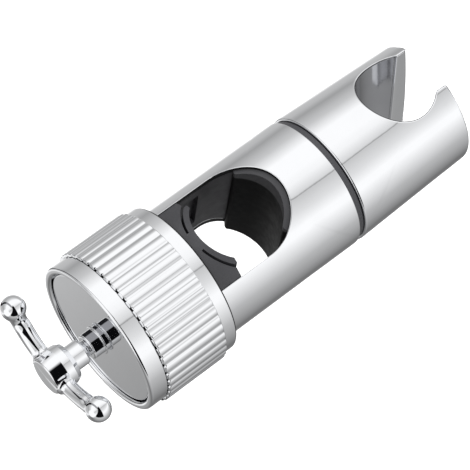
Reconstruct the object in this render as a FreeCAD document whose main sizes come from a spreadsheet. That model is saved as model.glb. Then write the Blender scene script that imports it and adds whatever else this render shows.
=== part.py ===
"""Shower head holder: a clamp on a round rail, with a swivelling handset holder and a double hook.

The frame is the rail's: the origin is on the rail's axis, +Z runs up along the rail,
and +X runs along the body to the handset holder. The knob and the hook are on the -X side.
Lengths are in millimetres and angles in degrees.
"""
import FreeCAD
import Part
import math
import os
import re

import Sketcher
from FreeCAD import Placement, Rotation, Vector

# Driving dimensions: name, value, what it measures
SIZES = [
    ("body_radius", 18.6, "outside of the chromed sleeve"),
    ("cheek", 5.85, "outside of the sleeve to the rail's hole"),
    ("seat_wall", 1.65, "thickness of the seat pad, which leaves a seat for a 22 mm rail"),
    ("seat_half_angle", 56, "half of the arc that the seat pad covers"),
    ("seat_recess", 1.0, "how far the pad's upper end lies below the sleeve"),
    ("seat_foot_recess", 0.2, "how far the pad's lower end lies below the sleeve"),
    ("seat_boss", 1.2, "plug of the pad in the screw's counterbore"),
    ("seat_round", 0.8, "rounded inner corners of the pad"),
    ("sleeve_wall", 1.6, "wall of the sleeve"),
    ("body_right", 26.2, "rail axis to the swivel face"),
    ("edge_round", 0.4, "rounded edges of the sleeve"),
    ("guide_half_height", 7.7, "half of the guide groove's height"),
    ("guide_depth", 1.6, "depth of the guide grooves in the cheeks"),
    ("guide_stop", 1.75, "rail axis to the closed end of the guide grooves"),
    ("slide_clearance", 0.15, "gap between the jaw and the channel, each side"),
    ("spigot_radius", 9.0, "swivel spigot of the core"),
    ("spigot_length", 5.0, "reach of the spigot into the holder"),
    ("swivel_clearance", 0.3, "radial gap round the spigot"),
    ("swivel_gap", 1.9, "width of the gap that the friction ring fills"),
    ("ring_play", 0.1, "axial play of the friction ring"),
    ("ring_inset", 0.7, "how far the friction ring lies below the sleeve"),
    ("seal_section", 0.9, "section radius of the O-ring"),
    ("seal_play", 0.1, "gap between the O-ring and the holder's bore"),
    ("seal_groove_play", 0.2, "side play of the O-ring in its groove"),
    ("shoulder_depth", 6.25, "rail's hole to the shoulder under the swivel screw"),
    ("counterbore_radius", 5.6, "counterbore of the swivel screw"),
    ("screw_radius", 2.5, "shank of the swivel screw"),
    ("screw_clearance", 0.3, "radial gap round a shank or a washer's bore"),
    ("screw_head_radius", 4.6, "head of the swivel screw"),
    ("screw_head", 3.0, "height of a screw's head"),
    ("socket_depth", 1.8, "depth of the hexagon sockets"),
    ("socket_flats", 4.0, "width of the hexagon sockets across flats"),
    ("washer_thickness", 1.0, "flat washers"),
    ("spring_thickness", 0.8, "spring washer"),
    ("insert_radius", 4.0, "brass insert in the holder"),
    ("insert_length", 7.5, "brass insert in the holder"),
    ("insert_space", 1.0, "free space past the insert and short of the screw's tip"),
    ("holder_length", 36.8, "length of the handset holder to the edge of its free end"),
    ("holder_dome", 0.7, "rise of the holder's domed end"),
    ("holder_taper", 1.2, "how much the holder's radius falls to its free end"),
    ("holder_round", 0.7, "rounded edges of the holder"),
    ("holder_tilt", 10, "tilt of the handset's socket as it is set"),
    ("socket_centre", 26.4, "swivel face of the holder to the socket's axis"),
    ("socket_top_radius", 10.4, "mouth of the conical socket at the top"),
    ("socket_bottom_radius", 9.05, "mouth of the conical socket at the bottom"),
    ("mouth_width", 14.8, "slot that the hose passes through"),
    ("knob_front", 44.15, "rail axis to the knob's front rim"),
    ("knob_overlap", 1.7, "reach of the knob over the sleeve"),
    ("front_band", 5.05, "smooth band at the knob's front"),
    ("rear_band", 4.15, "smooth band at the knob's rear"),
    ("knob_clearance", 0.4, "radial gap between the knob and the sleeve"),
    ("knob_wall", 2.2, "wall of the knob at its rear band"),
    ("flute_sink", 0.35, "grooves between the ribs below the bands"),
    ("flute_gap", 0.33, "gap between neighbouring ribs at their roots"),
    ("flute_count", 48, "ribs round the knob"),
    ("rim_wall", 2.0, "wall round the recess in the knob's front"),
    ("rim_round", 0.7, "rounded edges of the knob"),
    ("disc_recess", 0.8, "how far the cover disc lies behind the rim"),
    ("disc_clearance", 0.45, "gap between the cover disc and the rim"),
    ("disc_thickness", 1.4, "cover disc"),
    ("front_washer", 0.6, "washer between the cover disc and the knob's web"),
    ("running_play", 0.1, "axial play of the knob's web on each side"),
    ("web_thickness", 2.4, "web that carries the knob"),
    ("clamp_travel", 6.8, "travel of the jaw and the knob"),
    ("core_play", 0.3, "threaded end of the core to the web, with the jaw closed"),
    ("sleeve_play", 1.15, "nut ring to the sleeve, with the jaw closed"),
    ("nut_lead", 1.7, "shoulder of the nut ring to the core's threaded end"),
    ("nut_ledge", 1.2, "height of the shoulder that the nut ring seats on"),
    ("nut_length", 7.0, "threaded nut ring"),
    ("thread_clearance", 0.3, "radial gap between the core and the nut ring"),
    ("bush_radius", 4.5, "bearing bush of the knob"),
    ("bush_clearance", 0.3, "radial gap between the bush and the web"),
    ("washer_radius", 8.0, "thrust washers of the knob"),
    ("spindle_radius", 3.0, "shank of the spindle screw"),
    ("spindle_head_radius", 5.0, "head of the spindle screw"),
    ("spindle_head_sink", 1.2, "saddle's lowest line to the spindle's head"),
    ("spindle_tip_radius", 2.0, "end of the spindle that holds the post"),
    ("spindle_grip", 3.6, "reach of the spindle into the post"),
    ("jaw_open", 1.8, "saddle's axis to the rail's axis, with the jaw open"),
    ("saddle_depth", 3.25, "saddle's lowest line to the jaw's end faces"),
    ("jaw_nose", 0.8, "reach of the lips' tips past the end faces"),
    ("jaw_lip", 1.45, "thickness of the sprung lips"),
    ("jaw_slit", 0.65, "width of the slits behind the lips"),
    ("jaw_slit_start", 12.6, "angle from the middle to the start of a slit"),
    ("jaw_slit_end", 62, "angle from the middle to past the open end of a slit"),
    ("jaw_flush", 0.3, "how far the jaw lies below the sleeve"),
    ("jaw_inset", 0.5, "threaded end of the core to the jaw's guided block"),
    ("block_inset", 0.8, "guided block below the core's outside"),
    ("head_gap", 4.2, "nut ring to the jaw's wide head"),
    ("post_foot_radius", 4.2, "foot of the hook's post"),
    ("post_foot", 1.05, "thickness of the post's foot"),
    ("post_foot_round", 0.3, "rounded edge of the post's foot"),
    ("post_barrel_radius", 3.45, "barrel of the post in front of its foot"),
    ("post_barrel", 3.2, "length of the barrel"),
    ("post_waist_radius", 2.1, "groove between the barrel and the neck"),
    ("post_waist", 1.35, "width of the groove"),
    ("post_neck_radius", 3.45, "neck that carries the hook"),
    ("post_neck", 4.1, "length of the neck"),
    ("post_tenon_radius", 2.0, "tenon of the post in the hook"),
    ("post_tenon", 4.0, "length of the tenon"),
    ("lock_washer", 0.5, "lock washer inside the post's foot"),
    ("lock_washer_radius", 3.4, "lock washer inside the post's foot"),
    ("hub_radius", 5.4, "radius of the hook's hub at its collar"),
    ("hub_collar_radius", 4.95, "stepped collar of the hub"),
    ("hub_collar", 1.0, "length of the stepped collar"),
    ("hub_band", 2.0, "straight part of the hub past its collar"),
    ("hub_length", 7.4, "hub of the hook"),
    ("hub_face_radius", 5.6, "radius of the hub at its flat end"),
    ("hub_round", 1.0, "rounded edge of the hub's face"),
    ("arm_radius", 2.05, "section radius of the hook's arms"),
    ("arm_station", 4.6, "neck's end to the plane of the arms"),
    ("arm_bend_radius", 20.5, "bend of the arms, on their centre line"),
    ("arm_half_angle", 54, "bend from the hub to the middle of a ball"),
    ("ball_radius", 3.3, "balls at the ends of the arms"),
    ("hook_roll", 1.2, "turn of the hook about the body's axis"),
]

# Places and sizes that follow from the driving dimensions
CORE_RADIUS = "(body_radius - sleeve_wall)"
HOLE_RADIUS = "(body_radius - cheek)"
SEAT_RADIUS = "(body_radius - cheek - seat_wall)"
SWIVEL_SHOULDER = "(" + HOLE_RADIUS + " + shoulder_depth)"
HOLDER_LEFT = "(body_right + swivel_gap)"
HOLDER_RIGHT = "(body_right + swivel_gap + holder_length)"
HOLDER_END_RADIUS = "(body_radius - holder_taper)"
DOME_RADIUS = "((" + HOLDER_END_RADIUS + " ^ 2 + holder_dome ^ 2) / (2 * holder_dome))"
SOCKET_AXIS = "(body_right + swivel_gap + socket_centre)"
SPIGOT_END = "(body_right + spigot_length)"
SPIGOT_BORE = "(spigot_radius + swivel_clearance)"
SPIGOT_BORE_END = "(body_right + spigot_length + swivel_clearance)"
SEAL_RADIUS = "(spigot_radius + swivel_clearance - seal_play - seal_section)"
SEAL_FLOOR = "(spigot_radius + swivel_clearance - seal_play - 2 * seal_section)"
SEAL_HALF_WIDTH = "(seal_section + seal_groove_play)"
SEAL_STATION = "((body_right + swivel_gap + body_right + spigot_length) / 2)"
SCREW_SEAT = "(" + SWIVEL_SHOULDER + " - washer_thickness - spring_thickness)"
SCREW_TIP = "(body_right + spigot_length + swivel_clearance + insert_length)"
FLUTE_FRONT = "(-knob_front + front_band)"
DISC_FRONT = "(-knob_front + disc_recess)"
DISC_BACK = "(-knob_front + disc_recess + disc_thickness)"
WEB_FRONT = "(-knob_front + disc_recess + disc_thickness + front_washer + running_play)"
WEB_BACK = "(" + WEB_FRONT + " + web_thickness)"
WASHER_FRONT = "(" + WEB_BACK + " + running_play)"
JAW_BOSS_END = "(" + WASHER_FRONT + " + washer_thickness)"
CORE_END = "(" + WEB_BACK + " + clamp_travel + core_play)"
NUT_LEFT = "(" + CORE_END + " - nut_lead)"
NUT_RIGHT = "(" + NUT_LEFT + " + nut_length)"
SLEEVE_LEFT = "(" + NUT_RIGHT + " + clamp_travel + sleeve_play)"
KNOB_REAR = "(" + SLEEVE_LEFT + " + knob_overlap)"
FLUTE_REAR = "(" + KNOB_REAR + " - rear_band)"
KNOB_BORE = "(body_radius + knob_clearance)"
CAVITY_RADIUS = "(" + KNOB_BORE + " - nut_ledge)"
BAND_RADIUS = "(" + KNOB_BORE + " + knob_wall)"
FLUTE_ROOT = "(" + BAND_RADIUS + " - flute_sink)"
RIB_RADIUS = "(pi * " + FLUTE_ROOT + " / flute_count - flute_gap / 2)"
RIM_RADIUS = "(" + BAND_RADIUS + " - rim_wall)"
DISC_RADIUS = "(" + RIM_RADIUS + " - disc_clearance)"
SADDLE_FLOOR = "(-jaw_open - " + SEAT_RADIUS + ")"
JAW_FACE = "(" + SADDLE_FLOOR + " + saddle_depth)"
JAW_HEAD = "(" + NUT_RIGHT + " + head_gap)"
JAW_BACK = "(" + CORE_END + " + jaw_inset)"
JAW_BLOCK_RADIUS = "(" + CORE_RADIUS + " - block_inset)"
JAW_HALF_WIDTH = "(" + HOLE_RADIUS + " - slide_clearance)"
SLIT_INNER = "(" + SEAT_RADIUS + " + jaw_lip)"
SLIT_OUTER = "(" + SEAT_RADIUS + " + jaw_lip + jaw_slit)"
SPINDLE_HEAD_FRONT = "(" + SADDLE_FLOOR + " - spindle_head_sink)"
SPINDLE_SEAT = "(" + SPINDLE_HEAD_FRONT + " - screw_head)"
POST_FOOT_FRONT = "(" + DISC_FRONT + " - post_foot)"
POST_WAIST_BACK = "(" + POST_FOOT_FRONT + " - post_barrel)"
POST_NECK_BACK = "(" + POST_WAIST_BACK + " - post_waist)"
POST_END = "(" + POST_NECK_BACK + " - post_neck)"
HUB_END = "(" + POST_END + " - hub_length)"
ARM_PLANE = "(" + POST_END + " - arm_station)"

# Lengths that run past the piece that is cut: an overrun, a far side and a cut right through
OVERRUN = "body_radius"
FAR_SIDE = "(3 * body_radius)"
RIGHT_THROUGH = "(4 * body_radius)"

doc = FreeCAD.newDocument("shower_head_holder")
sheet = doc.addObject("Spreadsheet::Sheet", "sizes")
for row, (name, amount, meaning) in enumerate(SIZES, start=1):
    sheet.set("A%d" % row, name)
    sheet.set("B%d" % row, str(amount))
    sheet.set("C%d" % row, meaning)
    sheet.setAlias("B%d" % row, name)
doc.recompute()

SIZE_NAMES = {name for name, amount, meaning in SIZES}
NODES = []


def bound(expression):
    """The expression with each size's name pointing into the spreadsheet."""
    def into_sheet(match):
        word = match.group(0)
        return "sizes." + word if word in SIZE_NAMES else word
    return re.sub(r"[a-z_]+", into_sheet, expression)


def value(expression):
    """The number that an expression gives now."""
    result = sheet.evalExpression(bound(expression))
    return float(getattr(result, "Value", result))


def bind(item, prop, expression):
    """Ties a property to an expression of sizes."""
    item.setExpression(prop, bound(expression))


def node(label, item):
    """Names a finished sub-part, under which it is written."""
    item.Label = label
    NODES.append(item)
    return item


def new_body(label):
    body = doc.addObject("PartDesign::Body", label)
    return node(label, body)


def new_sketch(body, name, role):
    """An empty sketch on one of the body's own origin planes."""
    sketch = body.newObject("Sketcher::SketchObject", name)
    plane = next(part for part in body.Origin.OriginFeatures if part.Role == role)
    sketch.AttachmentSupport = (plane, [""])
    sketch.MapMode = "FlatFace"
    return sketch


def pin(sketch, kind, geometry, point, expression):
    """Holds one coordinate of a sketch point at an expression of sizes."""
    amount = value(expression)
    index = sketch.addConstraint(Sketcher.Constraint(kind, -1, 1, geometry, point, amount))
    bind(sketch, "Constraints[%d]" % index, expression)


def pin_radius(sketch, geometry, expression):
    """Holds the radius of an arc or circle at an expression of sizes."""
    index = sketch.addConstraint(Sketcher.Constraint("Radius", geometry, value(expression)))
    bind(sketch, "Constraints[%d]" % index, expression)


def arc_between(start, end, radius):
    """The short counterclockwise arc from start to end."""
    middle = (start + end) * 0.5
    along = end - start
    across = Vector(-along.y, along.x, 0)
    across.normalize()
    rise = math.sqrt(radius * radius - along.Length ** 2 / 4)
    centre = middle + across * rise
    return Part.Arc(start, centre - across * radius, end)


def outline(sketch, corners):
    """A closed outline. A corner is (x, y), or (x, y, radius) where an arc leaves it,
    counterclockwise, or clockwise where the radius has a minus sign."""
    spots = [Vector(value(corner[0]), value(corner[1]), 0) for corner in corners]
    count = len(corners)
    first = sketch.GeometryCount
    starts = []
    for index, corner in enumerate(corners):
        start = spots[index]
        end = spots[(index + 1) % count]
        clockwise = len(corner) == 3 and corner[2].startswith("-")
        if clockwise:
            edge = arc_between(end, start, value(corner[2][1:]))
        elif len(corner) == 3:
            edge = arc_between(start, end, value(corner[2]))
        else:
            edge = Part.LineSegment(start, end)
        sketch.addGeometry(edge, False)
        starts.append(2 if clockwise else 1)
    for index, corner in enumerate(corners):
        following = (index + 1) % count
        sketch.addConstraint(Sketcher.Constraint(
            "Coincident", first + index, 3 - starts[index], first + following, starts[following]))
        pin(sketch, "DistanceX", first + index, starts[index], corner[0])
        pin(sketch, "DistanceY", first + index, starts[index], corner[1])
        if len(corner) == 3:
            pin_radius(sketch, first + index, corner[2].lstrip("-"))


def rectangle(left, right, bottom, top):
    return [(left, bottom), (right, bottom), (right, top), (left, top)]


def circle(sketch, centre_x, centre_y, radius):
    geometry = sketch.GeometryCount
    spot = Vector(value(centre_x), value(centre_y), 0)
    sketch.addGeometry(Part.Circle(spot, Vector(0, 0, 1), value(radius)), False)
    pin(sketch, "DistanceX", geometry, 3, centre_x)
    pin(sketch, "DistanceY", geometry, 3, centre_y)
    pin_radius(sketch, geometry, radius)


def sector(centre_x, inner, outer, start_angle, end_angle):
    """Corners of a piece of a flat ring, whose centre is on the X axis."""
    def at(radius, angle):
        return ("%s + %s * cos(%s)" % (centre_x, radius, angle), "%s * sin(%s)" % (radius, angle))
    return [
        at(inner, start_angle),
        at(outer, start_angle) + (outer,),
        at(outer, end_angle),
        at(inner, end_angle) + ("-" + inner,),
    ]


def turn(body, kind, corners, name):
    """Turns an outline of (x, radius) corners about the X axis."""
    sketch = new_sketch(body, name + "_outline", "XY_Plane")
    outline(sketch, corners)
    feature = body.newObject("PartDesign::" + kind, name)
    feature.Profile = sketch
    feature.ReferenceAxis = (sketch, ["H_Axis"])
    feature.Angle = 360
    return feature


def straight(body, kind, sketch, height, name):
    """Pads or pockets a sketch by the same amount to both sides of its plane."""
    feature = body.newObject("PartDesign::" + kind, name)
    feature.Profile = sketch
    feature.Midplane = True
    bind(feature, "Length", height)
    return feature


def through(body, shapes, name):
    """Pockets closed outlines of (x, y) corners right through, along Z."""
    sketch = new_sketch(body, name + "_outline", "XY_Plane")
    for corners in shapes:
        outline(sketch, corners)
    return straight(body, "Pocket", sketch, RIGHT_THROUGH, name)


def turned(label, corners, rounds=(), round_size="edge_round"):
    """A piece turned about the X axis, with its edges at some corners rounded."""
    body = new_body(label)
    turn(body, "Revolution", corners, label + "_turned")
    if rounds:
        round_edges(body, circles_at(rounds), round_size, label + "_rounds")
    return body


def circles_at(corners):
    """A test for the circular edges that the given (x, radius) corners turn into."""
    spots = [(value(x), value(radius)) for x, radius in corners]

    def matches(edge):
        if not isinstance(edge.Curve, Part.Circle):
            return False
        x = edge.Curve.Center.x
        radius = edge.Curve.Radius
        return any(abs(x - spot[0]) < 1e-3 and abs(radius - spot[1]) < 1e-3 for spot in spots)
    return matches


def round_edges(body, matches, size, name):
    """Rounds the edges of the body that the test picks."""
    doc.recompute()
    base = body.Tip
    picked = []
    for index, edge in enumerate(base.Shape.Edges, start=1):
        if not edge.Degenerated and matches(edge):
            picked.append("Edge%d" % index)
    if not picked:
        raise ValueError("no edge to round for " + name)
    fillet = body.newObject("PartDesign::Fillet", name)
    fillet.Base = (base, picked)
    bind(fillet, "Radius", size)
    return fillet


def hexagon(body, depth_start, depth_end, name):
    """A hexagon socket along the X axis, cut between two stations."""
    sketch = new_sketch(body, name + "_outline", "YZ_Plane")
    bind(sketch, "AttachmentOffset.Base.z", "(%s + %s) / 2" % (depth_start, depth_end))
    corners = []
    for index in range(6):
        angle = "%d" % (60 * index)
        radius = "(socket_flats / 2 / cos(30))"
        corners.append(("%s * cos(%s)" % (radius, angle), "%s * sin(%s)" % (radius, angle)))
    outline(sketch, corners)
    return straight(body, "Pocket", sketch, "abs(%s - %s)" % (depth_end, depth_start), name)


def washer(label, left, right, bore, radius):
    """A flat ring between two stations on the X axis."""
    return turned(label, rectangle(left, right, bore, radius))


def rail_opening(body, label):
    """The rail's hole through a piece along Z, open to the left as a slot."""
    hole = new_sketch(body, label + "_hole_outline", "XY_Plane")
    circle(hole, "0", "0", HOLE_RADIUS)
    straight(body, "Pocket", hole, RIGHT_THROUGH, label + "_hole")
    slot = rectangle("%s - %s" % (CORE_END, OVERRUN), "0", "-" + HOLE_RADIUS, HOLE_RADIUS)
    through(body, [slot], label + "_slot")


def on_surface(radius):
    """A test for the edges cut into a round surface about the X axis, past its ends and seam."""
    surface = value(radius)

    def matches(edge):
        spots = [edge.valueAt(edge.FirstParameter), edge.valueAt(edge.LastParameter)]
        spots.append(edge.valueAt((edge.FirstParameter + edge.LastParameter) / 2))
        on_it = all(abs(math.hypot(spot.y, spot.z) - surface) < 1e-3 for spot in spots)
        end = isinstance(edge.Curve, Part.Circle)
        seam = isinstance(edge.Curve, Part.Line) and abs(spots[0].y) < 1e-3
        return on_it and not end and not seam
    return matches


# Bracket: chromed sleeve over a moulded core
def body_sleeve():
    body = new_body("body_sleeve")
    turn(body, "Revolution",
         rectangle(SLEEVE_LEFT, "body_right", CORE_RADIUS, "body_radius"), "sleeve_tube")
    rail_opening(body, "sleeve")
    round_edges(body, on_surface("body_radius"), "edge_round", "sleeve_rim")


def body_core():
    body = new_body("body_core")
    seal_left = "(%s - %s)" % (SEAL_STATION, SEAL_HALF_WIDTH)
    seal_right = "(%s + %s)" % (SEAL_STATION, SEAL_HALF_WIDTH)
    bore = "(screw_radius + screw_clearance)"
    corners = [
        (CORE_END, "0"),
        (CORE_END, CORE_RADIUS),
        ("body_right", CORE_RADIUS),
        ("body_right", "spigot_radius"),
        (seal_left, "spigot_radius"),
        (seal_left, SEAL_FLOOR),
        (seal_right, SEAL_FLOOR),
        (seal_right, "spigot_radius"),
        (SPIGOT_END, "spigot_radius"),
        (SPIGOT_END, bore),
        (SWIVEL_SHOULDER, bore),
        (SWIVEL_SHOULDER, "counterbore_radius"),
        ("0", "counterbore_radius"),
        ("0", "0"),
    ]
    turn(body, "Revolution", corners, "core_block")
    rail_opening(body, "core")
    guides = new_sketch(body, "core_guides_outline", "XY_Plane")
    wall = "(%s - slide_clearance)" % HOLE_RADIUS
    floor = "(%s + guide_depth)" % HOLE_RADIUS
    far_end = "%s - %s" % (CORE_END, OVERRUN)
    outline(guides, rectangle(far_end, "-guide_stop", wall, floor))
    outline(guides, rectangle(far_end, "-guide_stop", "-" + floor, "-" + wall))
    straight(body, "Pocket", guides, "2 * guide_half_height", "core_guides")


def rail_seat():
    body = new_body("rail_seat")
    pad = new_sketch(body, "seat_pad_outline", "XY_Plane")
    outline(pad, sector("0", SEAT_RADIUS, HOLE_RADIUS, "-seat_half_angle", "seat_half_angle"))
    straight(body, "Pad", pad, RIGHT_THROUGH, "seat_pad")
    for end, recess, angle in (("foot", "seat_foot_recess", 360), ("top", "seat_recess", 180)):
        outside = rectangle("0", "body_right", "body_radius - " + recess, FAR_SIDE)
        turn(body, "Groove", outside, "seat_" + end).Angle = angle
    boss = rectangle("%s - seat_wall / 2" % HOLE_RADIUS, "%s + seat_boss" % HOLE_RADIUS,
                     "0", "counterbore_radius - slide_clearance")
    turn(body, "Revolution", boss, "seat_plug")

    def inner_corner(edge):
        spot = edge.valueAt((edge.FirstParameter + edge.LastParameter) / 2)
        on_arc = abs(math.hypot(spot.x, spot.y) - value(SEAT_RADIUS)) < 1e-3
        return on_arc and isinstance(edge.Curve, Part.Line)
    round_edges(body, inner_corner, "seat_round", "seat_corners")


def swivel_hardware():
    shank = "(screw_radius + screw_clearance)"
    rim = "(counterbore_radius - screw_clearance)"
    washer_left = "(%s - washer_thickness)" % SWIVEL_SHOULDER
    washer("swivel_washer", washer_left, SWIVEL_SHOULDER, shank, rim)
    washer("swivel_spring_washer", SCREW_SEAT, washer_left, shank, rim)
    washer("friction_ring", "body_right", "%s - ring_play" % HOLDER_LEFT,
           "spigot_radius + slide_clearance", "body_radius - ring_inset")
    seal = doc.addObject("Part::Torus", "swivel_seal")
    bind(seal, "Radius1", SEAL_RADIUS)
    bind(seal, "Radius2", "seal_section")
    seal.Placement = Placement(Vector(0, 0, 0), Rotation(Vector(0, 1, 0), 90))
    bind(seal, "Placement.Base.x", SEAL_STATION)
    node("swivel_seal", seal)


# Handset holder, which swivels on the bracket
def swivel_screw():
    head_left = "(%s - screw_head)" % SCREW_SEAT
    body = turned("swivel_screw", [
        (head_left, "0"),
        (head_left, "screw_head_radius"),
        (SCREW_SEAT, "screw_head_radius"),
        (SCREW_SEAT, "screw_radius"),
        ("%s - insert_space" % SCREW_TIP, "screw_radius"),
        ("%s - insert_space" % SCREW_TIP, "0"),
    ], rounds=[(head_left, "screw_head_radius")])
    hexagon(body, head_left, "(%s + socket_depth)" % head_left, "swivel_screw_socket")


def holder_insert():
    washer("holder_insert", SPIGOT_BORE_END, SCREW_TIP, "screw_radius", "insert_radius")


def handset_holder():
    body = new_body("handset_holder")
    blind_end = "(%s + insert_space)" % SCREW_TIP
    corners = [
        (HOLDER_LEFT, SPIGOT_BORE),
        (SPIGOT_BORE_END, SPIGOT_BORE),
        (SPIGOT_BORE_END, "insert_radius"),
        (blind_end, "insert_radius"),
        (blind_end, "0"),
        ("%s + holder_dome" % HOLDER_RIGHT, "0", DOME_RADIUS),
        (HOLDER_RIGHT, HOLDER_END_RADIUS),
        (HOLDER_LEFT, "body_radius"),
    ]
    turn(body, "Revolution", corners, "holder_block")
    ends = [(HOLDER_RIGHT, HOLDER_END_RADIUS), (HOLDER_LEFT, "body_radius")]
    round_edges(body, circles_at(ends), "holder_round", "holder_ends")
    cone = new_sketch(body, "holder_socket_outline", "XZ_Plane")
    slope = "((socket_top_radius - socket_bottom_radius) / (2 * body_radius))"
    middle = "((socket_top_radius + socket_bottom_radius) / 2)"
    reach = "(body_radius + holder_round)"
    outline(cone, [
        (SOCKET_AXIS, "-" + reach),
        ("%s + %s - %s * %s" % (SOCKET_AXIS, middle, slope, reach), "-" + reach),
        ("%s + %s + %s * %s" % (SOCKET_AXIS, middle, slope, reach), reach),
        (SOCKET_AXIS, reach),
    ])
    axis_line = cone.GeometryCount
    low = Vector(value(SOCKET_AXIS), -value(reach), 0)
    high = Vector(value(SOCKET_AXIS), value(reach), 0)
    cone.addGeometry(Part.LineSegment(low, high), True)
    for point, height in ((1, "-" + reach), (2, reach)):
        pin(cone, "DistanceX", axis_line, point, SOCKET_AXIS)
        pin(cone, "DistanceY", axis_line, point, height)
    socket = body.newObject("PartDesign::Groove", "holder_socket")
    socket.Profile = cone
    socket.ReferenceAxis = (cone, ["Axis0"])
    socket.Angle = 360
    mouth = rectangle(SOCKET_AXIS, "%s + %s" % (HOLDER_RIGHT, OVERRUN),
                      "-mouth_width / 2", "mouth_width / 2")
    through(body, [mouth], "holder_mouth")
    body.Placement = Placement(Vector(0, 0, 0), Rotation(Vector(-1, 0, 0), value("holder_tilt")))
    bind(body, "Placement.Rotation.Angle", "holder_tilt")


# Knob, which turns on the core's thread
def knob_shell():
    body = new_body("knob_shell")
    corners = [
        ("-knob_front", RIM_RADIUS),
        (WEB_FRONT, RIM_RADIUS),
        (WEB_FRONT, "bush_radius + bush_clearance"),
        (WEB_BACK, "bush_radius + bush_clearance"),
        (WEB_BACK, CAVITY_RADIUS),
        (NUT_LEFT, CAVITY_RADIUS),
        (NUT_LEFT, KNOB_BORE),
        (KNOB_REAR, KNOB_BORE),
        (KNOB_REAR, BAND_RADIUS),
        (FLUTE_REAR, BAND_RADIUS),
        (FLUTE_REAR, FLUTE_ROOT),
        (FLUTE_FRONT, FLUTE_ROOT),
        (FLUTE_FRONT, BAND_RADIUS),
        ("-knob_front", BAND_RADIUS),
    ]
    turn(body, "Revolution", corners, "knob_ring")
    rims = [("-knob_front", BAND_RADIUS), ("-knob_front", RIM_RADIUS), (KNOB_REAR, BAND_RADIUS)]
    round_edges(body, circles_at(rims), "rim_round", "knob_rims")
    rib = new_sketch(body, "knob_rib_outline", "YZ_Plane")
    bind(rib, "AttachmentOffset.Base.z", "(%s + %s) / 2" % (FLUTE_FRONT, FLUTE_REAR))
    circle(rib, "0", FLUTE_ROOT, RIB_RADIUS)
    pad = straight(body, "Pad", rib, "%s - %s" % (FLUTE_REAR, FLUTE_FRONT), "knob_rib")
    pattern = body.newObject("PartDesign::PolarPattern", "knob_ribs")
    pattern.Originals = [pad]
    axis = next(part for part in body.Origin.OriginFeatures if part.Role == "X_Axis")
    pattern.Axis = (axis, [""])
    pattern.Angle = 360
    bind(pattern, "Occurrences", "flute_count")
    body.Tip = pattern


def knob_nut():
    washer("knob_nut", NUT_LEFT, NUT_RIGHT, "%s + thread_clearance" % CORE_RADIUS, KNOB_BORE)


# Slide: jaw, spindle, cover disc, post and hook
def clamp_jaw():
    body = new_body("clamp_jaw")
    nose = "(%s + jaw_nose)" % JAW_FACE
    block = new_sketch(body, "jaw_block_outline", "XY_Plane")
    outline(block, rectangle(JAW_BACK, nose, "-" + JAW_HALF_WIDTH, JAW_HALF_WIDTH))
    straight(body, "Pad", block, RIGHT_THROUGH, "jaw_block")
    slit_edge = "sqrt(%s ^ 2 - (%s + jaw_open) ^ 2)" % (SLIT_INNER, JAW_FACE)
    notches = [
        rectangle(JAW_FACE, "0", slit_edge, FAR_SIDE),
        rectangle(JAW_FACE, "0", "-" + FAR_SIDE, "-" + slit_edge),
    ]
    through(body, notches, "jaw_end_faces")
    saddle = new_sketch(body, "jaw_saddle_outline", "XY_Plane")
    circle(saddle, "-jaw_open", "0", SEAT_RADIUS)
    straight(body, "Pocket", saddle, RIGHT_THROUGH, "jaw_saddle")
    tongues = new_sketch(body, "jaw_tongues_outline", "XY_Plane")
    root = "(%s - guide_depth)" % JAW_HALF_WIDTH
    tip = "(%s + guide_depth - slide_clearance)" % HOLE_RADIUS
    outline(tongues, rectangle(JAW_BACK, JAW_FACE, root, tip))
    outline(tongues, rectangle(JAW_BACK, JAW_FACE, "-" + tip, "-" + root))
    straight(body, "Pad", tongues, "2 * (guide_half_height - 2 * slide_clearance)", "jaw_tongues")
    slits = [
        sector("-jaw_open", SLIT_INNER, SLIT_OUTER, "180 + jaw_slit_start", "180 + jaw_slit_end"),
        sector("-jaw_open", SLIT_INNER, SLIT_OUTER, "180 - jaw_slit_end", "180 - jaw_slit_start"),
    ]
    through(body, slits, "jaw_slits")
    past_back = "%s - %s" % (JAW_BACK, OVERRUN)
    outside = [
        (past_back, JAW_BLOCK_RADIUS),
        (JAW_HEAD, JAW_BLOCK_RADIUS),
        (JAW_HEAD, "body_radius - jaw_flush"),
        ("0", "body_radius - jaw_flush"),
        ("0", FAR_SIDE),
        (past_back, FAR_SIDE),
    ]
    turn(body, "Groove", outside, "jaw_round_faces")
    boss = rectangle(JAW_BOSS_END, "%s + washer_thickness" % JAW_BACK, "0", "washer_radius")
    turn(body, "Revolution", boss, "jaw_boss")
    bore = [
        (JAW_BOSS_END, "0"),
        ("0", "0"),
        ("0", "spindle_head_radius + screw_clearance"),
        (SPINDLE_SEAT, "spindle_head_radius + screw_clearance"),
        (SPINDLE_SEAT, "spindle_radius"),
        (JAW_BOSS_END, "spindle_radius"),
    ]
    turn(body, "Groove", bore, "jaw_bore")


def spindle_screw():
    body = turned("spindle_screw", [
        (SPINDLE_HEAD_FRONT, "0"),
        (SPINDLE_HEAD_FRONT, "spindle_head_radius"),
        (SPINDLE_SEAT, "spindle_head_radius"),
        (SPINDLE_SEAT, "spindle_radius"),
        (DISC_BACK, "spindle_radius"),
        (DISC_BACK, "spindle_tip_radius"),
        ("%s - spindle_grip" % DISC_FRONT, "spindle_tip_radius"),
        ("%s - spindle_grip" % DISC_FRONT, "0"),
    ], rounds=[(SPINDLE_HEAD_FRONT, "spindle_head_radius")])
    hexagon(body, "(%s - socket_depth)" % SPINDLE_HEAD_FRONT, SPINDLE_HEAD_FRONT,
            "spindle_screw_socket")


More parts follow.
